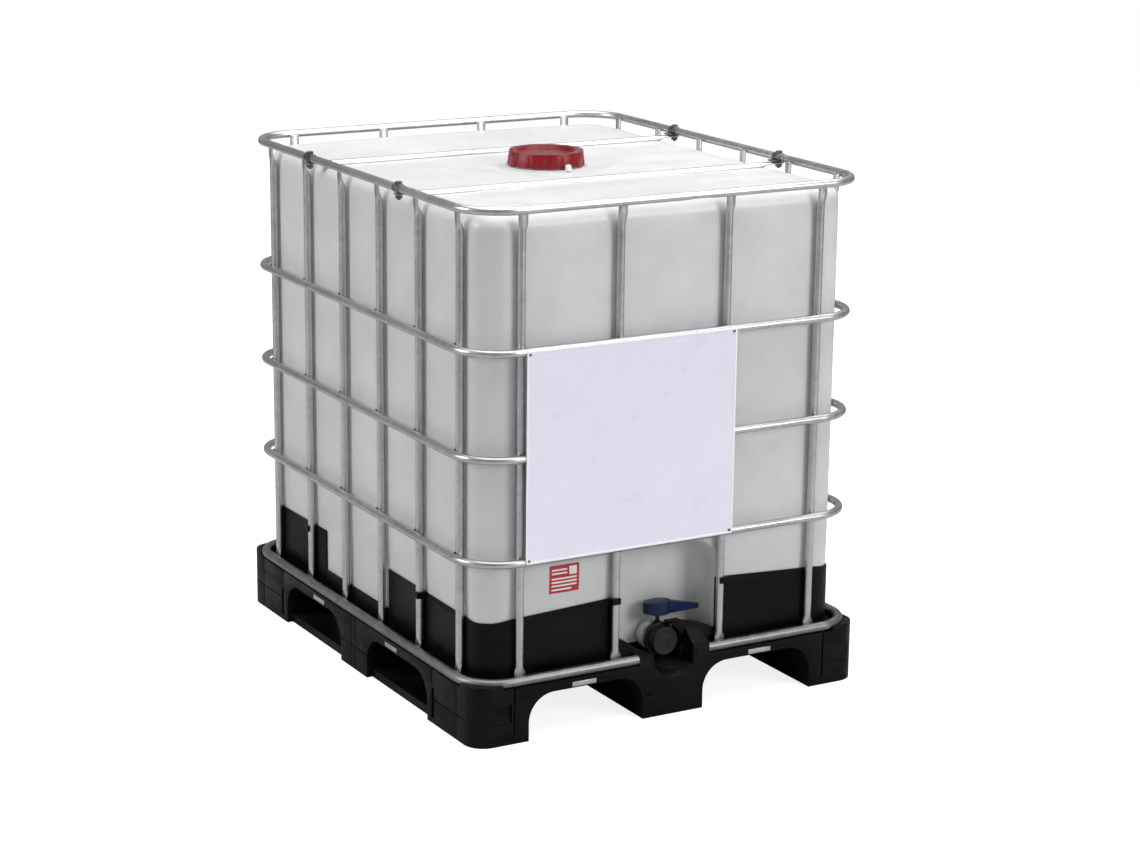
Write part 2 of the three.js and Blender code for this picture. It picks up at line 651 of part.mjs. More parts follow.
// Screw cap over the valve's outlet, with a gasket against the spout.
function dustClosure() {
  const sealFront = SPOUT_END - GAP - 2;
  const seal = [[SPOUT_BORE, SPOUT_END - GAP], [SPOUT_RADIUS, SPOUT_END - GAP], [SPOUT_RADIUS, sealFront]];
  seal.push([SPOUT_BORE, sealFront], [SPOUT_BORE, SPOUT_END - GAP]);
  piece("dust_cap_seal", turnedAlongValve(seal), RUBBER);
  const inside = sealFront - GAP;
  const skirt = DUST_CAP_FRONT + DUST_CAP_DEPTH;
  const cap = turnedAlongValve([
    [0, DUST_CAP_FRONT],
    [DUST_CAP_RADIUS - 3, DUST_CAP_FRONT],
    [DUST_CAP_RADIUS, DUST_CAP_FRONT + 3],
    [DUST_CAP_RADIUS, skirt],
    [SPOUT_RADIUS + 1, skirt],
    [SPOUT_RADIUS + 1, inside],
    [0, inside],
  ]);
  piece("dust_cap", cap, BLACK_PLASTIC);
}

// A blank sheet-steel plate screwed to the front of the cage.
function labelPlate() {
  const sheet = box(...PLATE_X, -HALF_DEPTH, -HALF_DEPTH + PLATE_THICKNESS, ...PLATE_Z);
  piece("label_plate", sheet, PLATE_STEEL);
}

pallet();
cageClips();
rings();
uprights();
crossBars();
cornerGuards();
bottle();
fillClosure();
outletValve();
dustClosure();
labelPlate();

export default container;
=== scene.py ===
# A caged intermediate bulk container of the 1000 litre class on its plastic pallet, in the order in
# which it is put together: pallet, bottle, corner guards, cage, plate, outlet valve and fill cap.
import math

import bmesh
import bpy
from mathutils import Matrix, Vector


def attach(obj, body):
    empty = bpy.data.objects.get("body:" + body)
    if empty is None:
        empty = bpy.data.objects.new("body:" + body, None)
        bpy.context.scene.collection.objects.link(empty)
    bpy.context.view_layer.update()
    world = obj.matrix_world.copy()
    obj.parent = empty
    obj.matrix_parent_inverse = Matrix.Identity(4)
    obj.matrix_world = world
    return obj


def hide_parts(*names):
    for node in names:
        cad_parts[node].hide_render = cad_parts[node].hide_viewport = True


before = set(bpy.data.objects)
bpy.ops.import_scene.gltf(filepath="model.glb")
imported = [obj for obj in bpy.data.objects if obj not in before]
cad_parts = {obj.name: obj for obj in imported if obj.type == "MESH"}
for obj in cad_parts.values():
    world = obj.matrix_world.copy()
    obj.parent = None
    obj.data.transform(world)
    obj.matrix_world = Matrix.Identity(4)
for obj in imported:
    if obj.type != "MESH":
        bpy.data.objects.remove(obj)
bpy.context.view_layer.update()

# ---------------------------------------------------------------- camera
# A long lens at the height of a raised tripod, off the container's front left corner.
CAMERA_PLACE = (-3.0647, -5.4730, 2.1533)
CAMERA_TURN = 0.5204
CAMERA_DIP = 0.2547
CAMERA_ROLL = 0.0112
SENSOR_WIDTH = 36.0
LENS_LENGTH = 86.5
camera_data = bpy.data.cameras.new("camera")
camera_data.sensor_width = SENSOR_WIDTH
camera_data.lens = LENS_LENGTH
camera = bpy.data.objects.new("camera", camera_data)
bpy.context.scene.collection.objects.link(camera)
camera.matrix_world = (
    Matrix.Translation(CAMERA_PLACE)
    @ Matrix.Rotation(-CAMERA_TURN, 4, "Z")
    @ Matrix.Rotation(math.pi / 2 - CAMERA_DIP, 4, "X")
    @ Matrix.Rotation(CAMERA_ROLL, 4, "Z")
)
bpy.context.scene.camera = camera

# ---------------------------------------------------------------- floor and lights
# A white studio floor in a white room, a large soft light overhead, a strong one in front on the
# right and a weak one on the left. The room is grey in reflections, so bare metal keeps its contrast.
FLOOR_SIZE = 120
FLOOR_HEIGHT = -0.0008
PAPER_GLOW = 0.84
ROOM_LEVEL = 0.3
scene = bpy.context.scene
scene.view_settings.view_transform = "Standard"
scene.view_settings.look = "None"


def deselect():
    if bpy.context.mode != "OBJECT":
        bpy.ops.object.mode_set(mode="OBJECT")
    bpy.ops.object.select_all(action="DESELECT")


def soft_light(name, place, aim, size, power):
    data = bpy.data.lights.new(name, "AREA")
    data.shape = "RECTANGLE"
    data.size, data.size_y = size
    data.energy = power
    light = bpy.data.objects.new(name, data)
    scene.collection.objects.link(light)
    light.location = place
    light.rotation_euler = (Vector(aim) - Vector(place)).to_track_quat("-Z", "Y").to_euler()


deselect()
bpy.ops.mesh.primitive_plane_add(size=FLOOR_SIZE, location=(0, 0, FLOOR_HEIGHT))
floor = bpy.context.object
floor.name = "studio_floor"
paper = bpy.data.materials.new("studio_paper")
paper.use_nodes = True
paper_shader = paper.node_tree.nodes["Principled BSDF"]
paper_shader.inputs["Base Color"].default_value = (0.5, 0.5, 0.5, 1)
paper_shader.inputs["Roughness"].default_value = 0.9
paper_shader.inputs["Emission Color"].default_value = (1, 1, 1, 1)
seen = paper.node_tree.nodes.new("ShaderNodeLightPath")
glow = paper.node_tree.nodes.new("ShaderNodeMath")
glow.operation = "MULTIPLY"
glow.inputs[1].default_value = PAPER_GLOW
paper.node_tree.links.new(seen.outputs["Is Camera Ray"], glow.inputs[0])
paper.node_tree.links.new(glow.outputs[0], paper_shader.inputs["Emission Strength"])
floor.data.materials.append(paper)

world = bpy.data.worlds.new("studio")
scene.world = world
world.use_nodes = True
room = world.node_tree
room.nodes["Background"].inputs["Color"].default_value = (1, 1, 1, 1)
way = room.nodes.new("ShaderNodeLightPath")
level = room.nodes.new("ShaderNodeMapRange")
level.inputs["To Min"].default_value = ROOM_LEVEL
level.inputs["To Max"].default_value = 1.0
room.links.new(way.outputs["Is Camera Ray"], level.inputs["Value"])
room.links.new(level.outputs["Result"], room.nodes["Background"].inputs["Strength"])
soft_light("overhead", (0.4, -0.2, 4.4), (0, 0, 0.6), (5.2, 5.2), 235)
soft_light("front_right", (2.6, -5.2, 2.6), (0, 0, 0.8), (2.2, 2.4), 132)
soft_light("left_fill", (-5.2, 1.2, 2.6), (0, 0.2, 0.7), (1.6, 2.4), 115)


# ---------------------------------------------------------------- pallet
# Deck and three skids, injection moulded in black polypropylene. The deck snaps onto the skids; the
# mouldings are slightly grained, with rounded edges, and pale with dust on their upper faces.
def effect_group(name, inputs, outputs):
    """A new shader node group with its input and output sockets."""
    group = bpy.data.node_groups.new(name, "ShaderNodeTree")
    for label, kind, value in inputs:
        socket = group.interface.new_socket(label, in_out="INPUT", socket_type=kind)
        if value is not None:
            socket.default_value = value
    for label, kind in outputs:
        group.interface.new_socket(label, in_out="OUTPUT", socket_type=kind)
    return group, group.nodes.new("NodeGroupInput"), group.nodes.new("NodeGroupOutput")


def shader_node(tree, kind, settings=None, **inputs):
    """Adds a node; inputs, by name or as i0, i1, i2, are set to a value or linked from a socket."""
    node = tree.nodes.new(kind)
    for key, value in (settings or {}).items():
        setattr(node, key, value)
    for key, value in inputs.items():
        socket = node.inputs[int(key[1:])] if key[0] == "i" and key[1:].isdigit() else node.inputs[key]
        if isinstance(value, bpy.types.NodeSocket):
            tree.links.new(value, socket)
        else:
            socket.default_value = value
    return node


def product(tree, first, second):
    """The first value times the second."""
    return shader_node(tree, "ShaderNodeMath", {"operation": "MULTIPLY"}, i0=first, i1=second).outputs[0]


def clouds_group():
    """Two sizes of soft noise on Object coordinates, mixed into one mask."""
    group, given, made = effect_group(
        "clouds",
        [("Scale", "NodeSocketFloat", 4.0), ("Detail Scale", "NodeSocketFloat", 40.0)],
        [("Mask", "NodeSocketFloat")],
    )
    place = shader_node(group, "ShaderNodeTexCoord").outputs["Object"]
    broad = shader_node(group, "ShaderNodeTexNoise", Vector=place, Scale=given.outputs["Scale"], Detail=3.0)
    small = given.outputs["Detail Scale"]
    close = shader_node(group, "ShaderNodeTexNoise", Vector=place, Scale=small, Detail=4.0)
    both = product(group, broad.outputs["Fac"], close.outputs["Fac"])
    spread = shader_node(group, "ShaderNodeMapRange", Value=both)
    spread.inputs["From Min"].default_value = 0.14
    spread.inputs["From Max"].default_value = 0.38
    group.links.new(spread.outputs["Result"], made.inputs["Mask"])
    return group


def grain_group():
    """Fine moulded or cast grain, as a height for a Bump node."""
    group, given, made = effect_group(
        "grain", [("Scale", "NodeSocketFloat", 600.0)], [("Height", "NodeSocketFloat")]
    )
    place = shader_node(group, "ShaderNodeTexCoord").outputs["Object"]
    noise = shader_node(group, "ShaderNodeTexNoise", Vector=place, Scale=given.outputs["Scale"], Detail=2.0)
    group.links.new(noise.outputs["Fac"], made.inputs["Height"])
    return group


def dust_group():
    """Dust that settles on faces that look up, broken up by noise."""
    group, given, made = effect_group(
        "dust",
        [("Scale", "NodeSocketFloat", 18.0), ("Amount", "NodeSocketFloat", 0.5)],
        [("Mask", "NodeSocketFloat")],
    )
    normal = shader_node(group, "ShaderNodeNewGeometry").outputs["Normal"]
    up = shader_node(group, "ShaderNodeSeparateXYZ", Vector=normal).outputs["Z"]
    lying = shader_node(group, "ShaderNodeMapRange", Value=up)
    lying.inputs["From Min"].default_value = 0.35
    place = shader_node(group, "ShaderNodeTexCoord").outputs["Object"]
    noise = shader_node(group, "ShaderNodeTexNoise", Vector=place, Scale=given.outputs["Scale"], Detail=6.0)
    patchy = shader_node(group, "ShaderNodeMapRange", Value=noise.outputs["Fac"])
    patchy.inputs["From Min"].default_value = 0.35
    patchy.inputs["From Max"].default_value = 0.7
    both = product(group, lying.outputs["Result"], patchy.outputs["Result"])
    group.links.new(product(group, both, given.outputs["Amount"]), made.inputs["Mask"])
    return group


clouds = clouds_group()
grain = grain_group()
dust = dust_group()


def placed(tree, group, **values):
    """An effect group placed in a material, with its own values."""
    node = tree.nodes.new("ShaderNodeGroup")
    node.node_tree = group
    for key, value in values.items():
        node.inputs[key.replace("_", " ")].default_value = value
    return node


def blend_colour(tree, mask, first, second):
    """From the first colour to the second as the mask goes from 0 to 1."""
    node = shader_node(tree, "ShaderNodeMix", {"data_type": "RGBA"})
    tree.links.new(mask, node.inputs["Factor"])
    for socket, value in ((node.inputs[6], first), (node.inputs[7], second)):
        if isinstance(value, bpy.types.NodeSocket):
            tree.links.new(value, socket)
        else:
            socket.default_value = (*value, 1)
    return node.outputs[2]


def blend_value(tree, mask, low, high):
    """From the low value to the high one as the mask goes from 0 to 1."""
    node = shader_node(tree, "ShaderNodeMapRange", Value=mask)
    node.inputs["To Min"].default_value = low
    node.inputs["To Max"].default_value = high
    return node.outputs["Result"]


def new_material(name):
    material = bpy.data.materials.new(name)
    material.use_nodes = True
    tree = material.node_tree
    return material, tree, tree.nodes["Principled BSDF"]


def bump(tree, shader, height, distance, strength=1.0):
    """Raises a finish's surface by a height between 0 and 1."""
    node = shader_node(tree, "ShaderNodeBump", Height=height, Distance=distance, Strength=strength)
    tree.links.new(node.outputs["Normal"], shader.inputs["Normal"])


DUST_COLOUR = (0.16, 0.155, 0.15)


def moulded_plastic(name, colour, paler, roughness, dust_amount, sheen=0.5):
    """Matt moulded plastic: clouded colour, settled dust, uneven gloss and a fine grain."""
    material, tree, shader = new_material(name)
    mask = placed(tree, clouds, Scale=5.0, Detail_Scale=55.0).outputs["Mask"]
    body = blend_colour(tree, mask, colour, paler)
    settled = placed(tree, dust, Scale=14.0, Amount=dust_amount).outputs["Mask"]
    dusty = blend_colour(tree, settled, body, DUST_COLOUR)
    tree.links.new(dusty, shader.inputs["Base Color"])
    tree.links.new(blend_value(tree, mask, roughness[0], roughness[1]), shader.inputs["Roughness"])
    bump(tree, shader, placed(tree, grain, Scale=700.0).outputs["Height"], 0.0003)
    shader.inputs["Specular IOR Level"].default_value = sheen
    return material


black_plastic = moulded_plastic(
    "black_plastic", (0.0018, 0.0019, 0.0021), (0.0045, 0.0047, 0.005), (0.34, 0.5), 0.05, 0.12
)


def merged_copy(node_name, piece_name, material):
    """A piece that starts as a CAD node's own shape, with its loose triangles merged."""
    deselect()
    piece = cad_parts[node_name].copy()
    piece.data = piece.data.copy()
    for key in list(piece.keys()):
        if key.startswith("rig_"):
            del piece[key]
    piece.parent = None
    piece.name = piece_name
    scene.collection.objects.link(piece)
    piece.select_set(True)
    bpy.context.view_layer.objects.active = piece
    bpy.ops.object.mode_set(mode="EDIT")
    bpy.ops.mesh.select_all(action="SELECT")
    bpy.ops.mesh.remove_doubles(threshold=0.00002)
    bpy.ops.mesh.dissolve_limited(angle_limit=math.radians(1.0))
    bpy.ops.object.mode_set(mode="OBJECT")
    piece.data.materials.clear()
    piece.data.materials.append(material)
    return piece


def apply_modifier(piece, kind, **settings):
    """Puts a modifier on a piece and applies it."""
    modifier = piece.modifiers.new(kind.lower(), kind)
    for key, value in settings.items():
        setattr(modifier, key, value)
    bpy.context.view_layer.objects.active = piece
    bpy.ops.object.modifier_apply(modifier=modifier.name)


def smooth(piece, angle):
    """Shades a piece smooth, except over edges sharper than an angle in degrees."""
    deselect()
    piece.select_set(True)
    bpy.context.view_layer.objects.active = piece
    bpy.ops.object.shade_smooth_by_angle(angle=math.radians(angle))


def named(name):
    """The primitive just added, named, with its place put into its mesh."""
    piece = bpy.context.object
    piece.name = name
    bpy.ops.object.transform_apply(location=True, rotation=True, scale=True)
    return piece


def block(name, low, high):
    """A box between its lowest and its highest corner."""
    deselect()
    middle = [(a + b) / 2 for a, b in zip(low, high)]
    bpy.ops.mesh.primitive_cube_add(size=1, location=middle)
    bpy.context.object.scale = [b - a for a, b in zip(low, high)]
    return named(name)


def rod(name, radius, start, end, sides=24):
    """A round bar between two points."""
    deselect()
    start, end = Vector(start), Vector(end)
    turn = (end - start).to_track_quat("Z", "Y").to_euler()
    bpy.ops.mesh.primitive_cylinder_add(
        vertices=sides, radius=radius, depth=(end - start).length, location=(start + end) / 2, rotation=turn
    )
    return named(name)


def round_edges(piece, width, segments=2, angle=40):
    """Rounds every edge that is sharper than an angle in degrees."""
    limit = math.radians(angle)
    apply_modifier(piece, "BEVEL", width=width, segments=segments, limit_method="ANGLE", angle_limit=limit)


def cut(piece, cutter, operation="DIFFERENCE"):
    """Cuts one shape out of another, or joins it on, and clears the cutter away."""
    modifier = piece.modifiers.new("cut", "BOOLEAN")
    modifier.operation = operation
    modifier.object = cutter
    modifier.solver = "EXACT"
    deselect()
    bpy.context.view_layer.objects.active = piece
    bpy.ops.object.modifier_apply(modifier=modifier.name)
    bpy.data.objects.remove(cutter)


def hand_in(piece, material, body, slot, *nodes, angle=38):
    """Finishes a piece: its material, its shading, the body it rides on and the nodes it replaces."""
    piece.data.materials.clear()
    piece.data.materials.append(material)
    smooth(piece, angle)
    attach(piece, body)
    if nodes:
        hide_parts(*nodes)


PALLET_EDGE = 0.0022
PAD_TOP = 0.143
PAD_REST = 0.1365
TROUGH_RADIUS = 0.052
VALVE_AXIS = 0.158
# Panels and seams of the blocks: lowest and highest corner of each hollow, in front on the left.
FRONT_HOLLOWS = (
    ((-0.484, -0.61, 0.048), (-0.408, -0.5945, 0.0915)),
    ((-0.4035, -0.61, 0.02), (-0.3995, -0.5955, 0.13)),
    ((-0.472, -0.61, 0.012), (-0.4035, -0.5975, 0.016)),
    ((-0.0765, -0.61, 0.0515), (-0.055, -0.594, 0.0545)),
)
SIDE_HOLLOWS = (
    ((-0.51, -0.411, 0.012), (-0.4945, -0.3985, 0.083)),
    ((-0.51, -0.4025, 0.086), (-0.493, -0.3985, 0.13)),
    ((-0.51, -0.518, 0.0), (-0.4965, -0.5155, 0.13)),
    ((-0.51, -0.56, 0.0555), (-0.4975, -0.411, 0.0585)),
    ((-0.51, -0.0715, 0.0545), (-0.4975, 0.0715, 0.057)),
    ((-0.51, -0.012, 0.004), (-0.497, -0.0095, 0.13)),
)
ALL_CORNERS = ((1, 1), (-1, 1), (1, -1), (-1, -1))
BARELY = 0.001


def own_box(part):
    """The lowest and the highest corner of a part."""
    places = [point.co for point in part.data.vertices]
    return [[pick(p[i] for p in places) for i in range(3)] for pick in (min, max)]


def hollowed(part, hollows):
    """Cuts the hollows and their mirror copies that reach a part's own box."""
    low, high = own_box(part)
    for first, last in hollows:
        for flip in ALL_CORNERS:
            ends = [sorted((a * s, b * s)) for a, b, s in zip(first, last, (*flip, 1))]
            near = [pair[0] for pair in ends]
            far = [pair[1] for pair in ends]
            if all(a < h - BARELY and b > l + BARELY for a, b, l, h in zip(near, far, low, high)):
                cut(part, block("hollow", near, far))


def trough(way):
    """The run-off under the valve: a round channel that slopes outwards, in front for -1."""
    return rod("trough", TROUGH_RADIUS, (0, way * 0.56, 0.165), (0, way * 0.64, 0.125), 32)


for node_name in ("pallet_deck", "skid_left", "skid_centre", "skid_right"):
    part = merged_copy(node_name, node_name + "_moulding", black_plastic)
    hollowed(part, FRONT_HOLLOWS)
    hollowed(part, SIDE_HOLLOWS)
    if node_name == "skid_centre":
        # The skid is the same at both ends, so it can be fitted either way round.
        cut(part, trough(-1))
        cut(part, trough(1))
    if node_name == "pallet_deck":
        # The pads are lowered to where the bottle rests. Beside the valve a fairing slopes up, and a
        # hump stands next to it, hollowed out to clear the valve's collar.
        for point in part.data.vertices:
            if abs(point.co.z - PAD_TOP) < 0.0001:
                point.co.z = PAD_REST
        fairing = block("fairing", (0.051, -0.597, 0.12), (0.093, -0.558, 0.178))
        for point in fairing.data.vertices:
            if point.co.z > 0.17 and point.co.y < -0.58:
                point.co.z = 0.153
            if point.co.z > 0.17 and point.co.x < 0.06:
                point.co.z = 0.186
        cut(part, fairing, "UNION")
        hump = block("hump", (0.0105, -0.5612, 0.172), (0.0455, -0.5356, 0.199))
        cut(hump, rod("collar_room", 0.0392, (0, -0.6, VALVE_AXIS), (0, -0.5, VALVE_AXIS), 64))
        cut(part, hump, "UNION")
        cut(part, trough(-1))
    round_edges(part, PALLET_EDGE, 2, 40)
    hand_in(part, black_plastic, "container", "black_plastic", node_name, angle=40)


# ---------------------------------------------------------------- cage clips
# Short strips of zinc-coated steel let into the pallet's edge over the fork openings; they hold the
# cage down to the deck. Stamped, with slightly rounded edges.
def galvanised_steel(name, dark, light, roughness):
    """Zinc on steel: spangle flecks, soft clouds and a faint drawn grain."""
    material, tree, shader = new_material(name)
    place = shader_node(tree, "ShaderNodeTexCoord").outputs["Object"]
    flecks = shader_node(tree, "ShaderNodeTexVoronoi", Vector=place, Scale=170.0, Randomness=1.0)
    fleck = shader_node(tree, "ShaderNodeSeparateColor", Color=flecks.outputs["Color"]).outputs["Red"]
    mask = placed(tree, clouds, Scale=7.0, Detail_Scale=60.0).outputs["Mask"]
    flecked = shader_node(tree, "ShaderNodeMath", {"operation": "MULTIPLY_ADD"}, i0=fleck, i1=0.3, i2=mask)
    uneven = flecked.outputs[0]
    tree.links.new(blend_colour(tree, uneven, dark, light), shader.inputs["Base Color"])
    tree.links.new(blend_value(tree, uneven, roughness[0], roughness[1]), shader.inputs["Roughness"])
    shader.inputs["Metallic"].default_value = 1.0
    bump(tree, shader, placed(tree, grain, Scale=200.0).outputs["Height"], 0.0001, 0.3)
    return material


zinc = galvanised_steel("galvanised_steel", (0.47, 0.475, 0.485), (0.6, 0.605, 0.615), (0.27, 0.37))
CLIPS = 8
for number in range(1, CLIPS + 1):
    clip = merged_copy(f"cage_clip_{number}", f"cage_clip_{number}_strip", zinc)
    round_edges(clip, 0.0006, 2)
    hand_in(clip, zinc, "container", "galvanised_steel", f"cage_clip_{number}")


# ---------------------------------------------------------------- bottle
# One blow-moulded shell of milky polyethylene. Its walls press against the uprights and swell a
# little between them; it has a pocket for the valve, two grooves for the bars and a threaded neck.
BOTTLE_HALF_X = 0.4593
BOTTLE_HALF_Y = 0.5573
BOTTLE_FOOT = 0.1403
BOTTLE_TOP = 1.143
BOTTLE_CORNER = 0.06
BOTTLE_SHOULDER = 0.024
POCKET_HALF = 0.13
POCKET_TOP = 0.377
POCKET_BACK = -0.49
POCKET_ROUND = 0.06
POCKET_LIP = 0.016
SWELL = 0.0075
SWELL_START = (0.262, 0.34)
SWELL_END = (1.06, 1.135)
FULL_SPAN = 0.19
SIDE_PLACES = (-0.480, -0.288, -0.096, 0.096, 0.288, 0.480)
END_PLACES = (-0.375, -0.1355, 0.1355, 0.375)
SIDE_SPANS = (-0.557, *SIDE_PLACES, 0.557)
END_SPANS = (-0.459, *END_PLACES, 0.459)
BAR_LINES = (-0.230, 0.230)
BAR_HEIGHT = 1.146
TOP_SPANS = ((-0.557, -0.238, 0.0125), (-0.222, 0.222, 0.007), (0.238, 0.557, 0.010))


def enter_edit(piece, kind="VERT"):
    """Opens a piece's mesh for editing with nothing selected."""
    deselect()
    piece.select_set(True)
    bpy.context.view_layer.objects.active = piece
    bpy.ops.object.mode_set(mode="EDIT")
    bpy.ops.mesh.select_mode(type=kind)
    bpy.ops.mesh.select_all(action="DESELECT")
    return bmesh.from_edit_mesh(piece.data)


def pick_points(piece, test):
    """Selects the points that pass a test of their place."""
    mesh = enter_edit(piece)
    for point in mesh.verts:
        point.select_set(bool(test(point.co)))
    mesh.select_flush(True)
    bmesh.update_edit_mesh(piece.data)


def pick_faces(piece, test):
    """Selects the faces that pass a test of their middle and normal."""
    mesh = enter_edit(piece, "FACE")
    for face in mesh.faces:
        face.select_set(bool(test(face.calc_center_median(), face.normal)))
    bmesh.update_edit_mesh(piece.data)


def pick_edges(piece, test):
    """Selects the edges that pass a test of their two ends."""
    mesh = enter_edit(piece, "EDGE")
    for edge in mesh.edges:
        edge.select_set(bool(test(edge.verts[0].co, edge.verts[1].co)))
    bmesh.update_edit_mesh(piece.data)


def leave_edit():
    bpy.ops.object.mode_set(mode="OBJECT")


def ease(value, low, high):
    """0 up to the low value, 1 from the high one, and a smooth step between them."""
    share = min(max((value - low) / (high - low), 0.0), 1.0)
    return share * share * (3 - 2 * share)


def swell(along, height, spans):
    """How far a wall stands out at a place, between the uprights that it leans on."""
    up = ease(height, *SWELL_START) * (1 - 0.75 * ease(height, *SWELL_END))
    for low, high in zip(spans, spans[1:]):
        if low < along < high:
            narrow = min(1.0, (high - low) / FULL_SPAN)
            return SWELL * narrow * up * math.sin(math.pi * (along - low) / (high - low)) ** 0.8
    return 0.0


def slice_up(piece, axis, places):
    """Cuts a shape into bands across an axis, so that its walls can be curved."""
    along = Vector([1 if i == axis else 0 for i in range(3)])
    enter_edit(piece)
    for place in places:
        bpy.ops.mesh.select_all(action="SELECT")
        bpy.ops.mesh.bisect(plane_co=along * place, plane_no=along)
    leave_edit()


def steps(low, high, count):
    """Evenly spaced values from low to high, with both ends."""
    return [low + (high - low) * i / count for i in range(count + 1)]


skin = block(
    "bottle_skin", (-BOTTLE_HALF_X, -BOTTLE_HALF_Y, BOTTLE_FOOT), (BOTTLE_HALF_X, BOTTLE_HALF_Y, BOTTLE_TOP)
)
pick_edges(skin, lambda a, b: abs(a.z - b.z) > 0.5)
bpy.ops.mesh.bevel(offset=BOTTLE_CORNER, segments=10, affect="EDGES")
leave_edit()
pick_edges(skin, lambda a, b: abs(a.z - b.z) < 0.0001)
bpy.ops.mesh.bevel(offset=BOTTLE_SHOULDER, segments=6, affect="EDGES")
leave_edit()
pocket = block("pocket", (-POCKET_HALF, -0.62, 0.1), (POCKET_HALF, POCKET_BACK, POCKET_TOP))
pick_edges(pocket, lambda a, b: abs(a.y - b.y) > 0.05 and a.z > 0.3)
bpy.ops.mesh.bevel(offset=POCKET_ROUND, segments=10, affect="EDGES")
leave_edit()
cut(skin, pocket)


def on_pocket_rim(point, depth):
    """Whether a point lies on the pocket's outline at a depth."""
    in_outline = abs(point.x) < POCKET_HALF + 0.001 and point.z < POCKET_TOP + 0.001
    return in_outline and abs(point.y - depth) < 0.0005


for depth, width in ((-BOTTLE_HALF_Y, POCKET_LIP), (POCKET_BACK, POCKET_LIP * 2)):
    pick_edges(
        skin, lambda a, b: on_pocket_rim(a, depth) and on_pocket_rim(b, depth) and max(a.z, b.z) > 0.17
    )
    bpy.ops.mesh.bevel(offset=width, segments=6, affect="EDGES")
    leave_edit()
slice_up(skin, 0, steps(-0.395, 0.395, 34))
slice_up(skin, 1, steps(-0.49, 0.49, 40) + [-0.24, -0.22, 0.22, 0.24, -0.525, -0.51, 0.51, 0.525])
slice_up(skin, 2, [0.262, 0.28, 0.3, 0.32, 0.34] + steps(0.4, 1.02, 9) + [1.05, 1.07, 1.09, 1.105])
# The walls swell between the uprights, and the top rises between the bars, round the neck.
for point in skin.data.vertices:
    place = point.co
    for axis, half, spans in ((0, BOTTLE_HALF_X, SIDE_SPANS), (1, BOTTLE_HALF_Y, END_SPANS)):
        share = ease(abs(place[axis]), half - BOTTLE_SHOULDER, half)
        if share > 0:
            out = swell(place[1 - axis], place.z, spans) * share
            place[axis] += math.copysign(out, place[axis])
for point in skin.data.vertices:
    place = point.co
    raised = ease(place.z, BOTTLE_TOP - BOTTLE_SHOULDER, BOTTLE_TOP)
    if raised > 0:
        across = math.sqrt(max(math.cos(math.pi * place.x / 0.94), 0.0))
        beside = ease(math.hypot(place.x, place.y), 0.10, 0.2)
        for low, high, rise in TOP_SPANS:
            if low < place.y < high:
                along = math.sin(math.pi * (place.y - low) / (high - low)) ** 0.5
                place.z += rise * raised * across * along * beside
# The grooves under the bars, the neck on its round foot, and the spout in the pocket.
for side in BAR_LINES:
    cut(skin, rod("groove", 0.010, (-0.49, side, BAR_HEIGHT), (0.49, side, BAR_HEIGHT), 20))
cut(skin, rod("neck", 0.080, (0, 0, 1.12), (0, 0, 1.1635), 64), "UNION")
cut(skin, rod("neck_foot", 0.097, (0, 0, 1.12), (0, 0, 1.1468), 64), "UNION")
cut(skin, rod("neck_bore", 0.073, (0, 0, 1.07), (0, 0, 1.18), 48))
cut(skin, rod("spout", 0.030, (0, -0.503, VALVE_AXIS), (0, -0.48, VALVE_AXIS), 32), "UNION")
cut(skin, rod("spout_bore", 0.020, (0, -0.51, VALVE_AXIS), (0, -0.46, VALVE_AXIS), 32))


def milky_plastic():
    """Milky polyethylene: light passes a little way in, and thicker places look whiter."""
    material, tree, shader = new_material("bottle_plastic")
    mask = placed(tree, clouds, Scale=2.2, Detail_Scale=14.0).outputs["Mask"]
    milk = blend_colour(tree, mask, (0.6, 0.605, 0.61), (0.655, 0.66, 0.66))
    tree.links.new(milk, shader.inputs["Base Color"])
    tree.links.new(blend_value(tree, mask, 0.3, 0.42), shader.inputs["Roughness"])
    shader.inputs["Subsurface Weight"].default_value = 0.2
    shader.inputs["Subsurface Radius"].default_value = (1.0, 1.0, 0.95)
    shader.inputs["Subsurface Scale"].default_value = 0.02
    bump(tree, shader, placed(tree, grain, Scale=55.0).outputs["Height"], 0.0004, 0.5)
    return material


milky = milky_plastic()
hand_in(skin, milky, "container", "bottle_plastic", "bottle", angle=42)

# ---------------------------------------------------------------- sticker
# A printed film label stuck to the bottle's front wall, which it follows: red, with plain white
# bars and a plain white square.
STICKER_X = (-0.298, -0.225)
STICKER_Z = (0.313, 0.376)
deselect()
bpy.ops.mesh.primitive_grid_add(
    x_subdivisions=12,
    y_subdivisions=10,
    size=1,
    location=(sum(STICKER_X) / 2, -BOTTLE_HALF_Y, sum(STICKER_Z) / 2),
    rotation=(math.pi / 2, 0, 0),
)
bpy.context.object.scale = (STICKER_X[1] - STICKER_X[0], STICKER_Z[1] - STICKER_Z[0], 1)
sticker = named("front_sticker")
for point in sticker.data.vertices:
    point.co.y -= swell(point.co.x, point.co.z, END_SPANS) + 0.0003
apply_modifier(sticker, "SOLIDIFY", thickness=0.0004, offset=1.0)
printed, tree, shader = new_material("printed_film")
place = shader_node(tree, "ShaderNodeTexCoord").outputs["Object"]
apart = shader_node(tree, "ShaderNodeSeparateXYZ", Vector=place)


def within(tree, value, low, high):
    """1 where a value lies between two others."""
    above = shader_node(tree, "ShaderNodeMath", {"operation": "GREATER_THAN"}, i0=value, i1=low)
    below = shader_node(tree, "ShaderNodeMath", {"operation": "LESS_THAN"}, i0=value, i1=high)
    return product(tree, above.outputs[0], below.outputs[0])


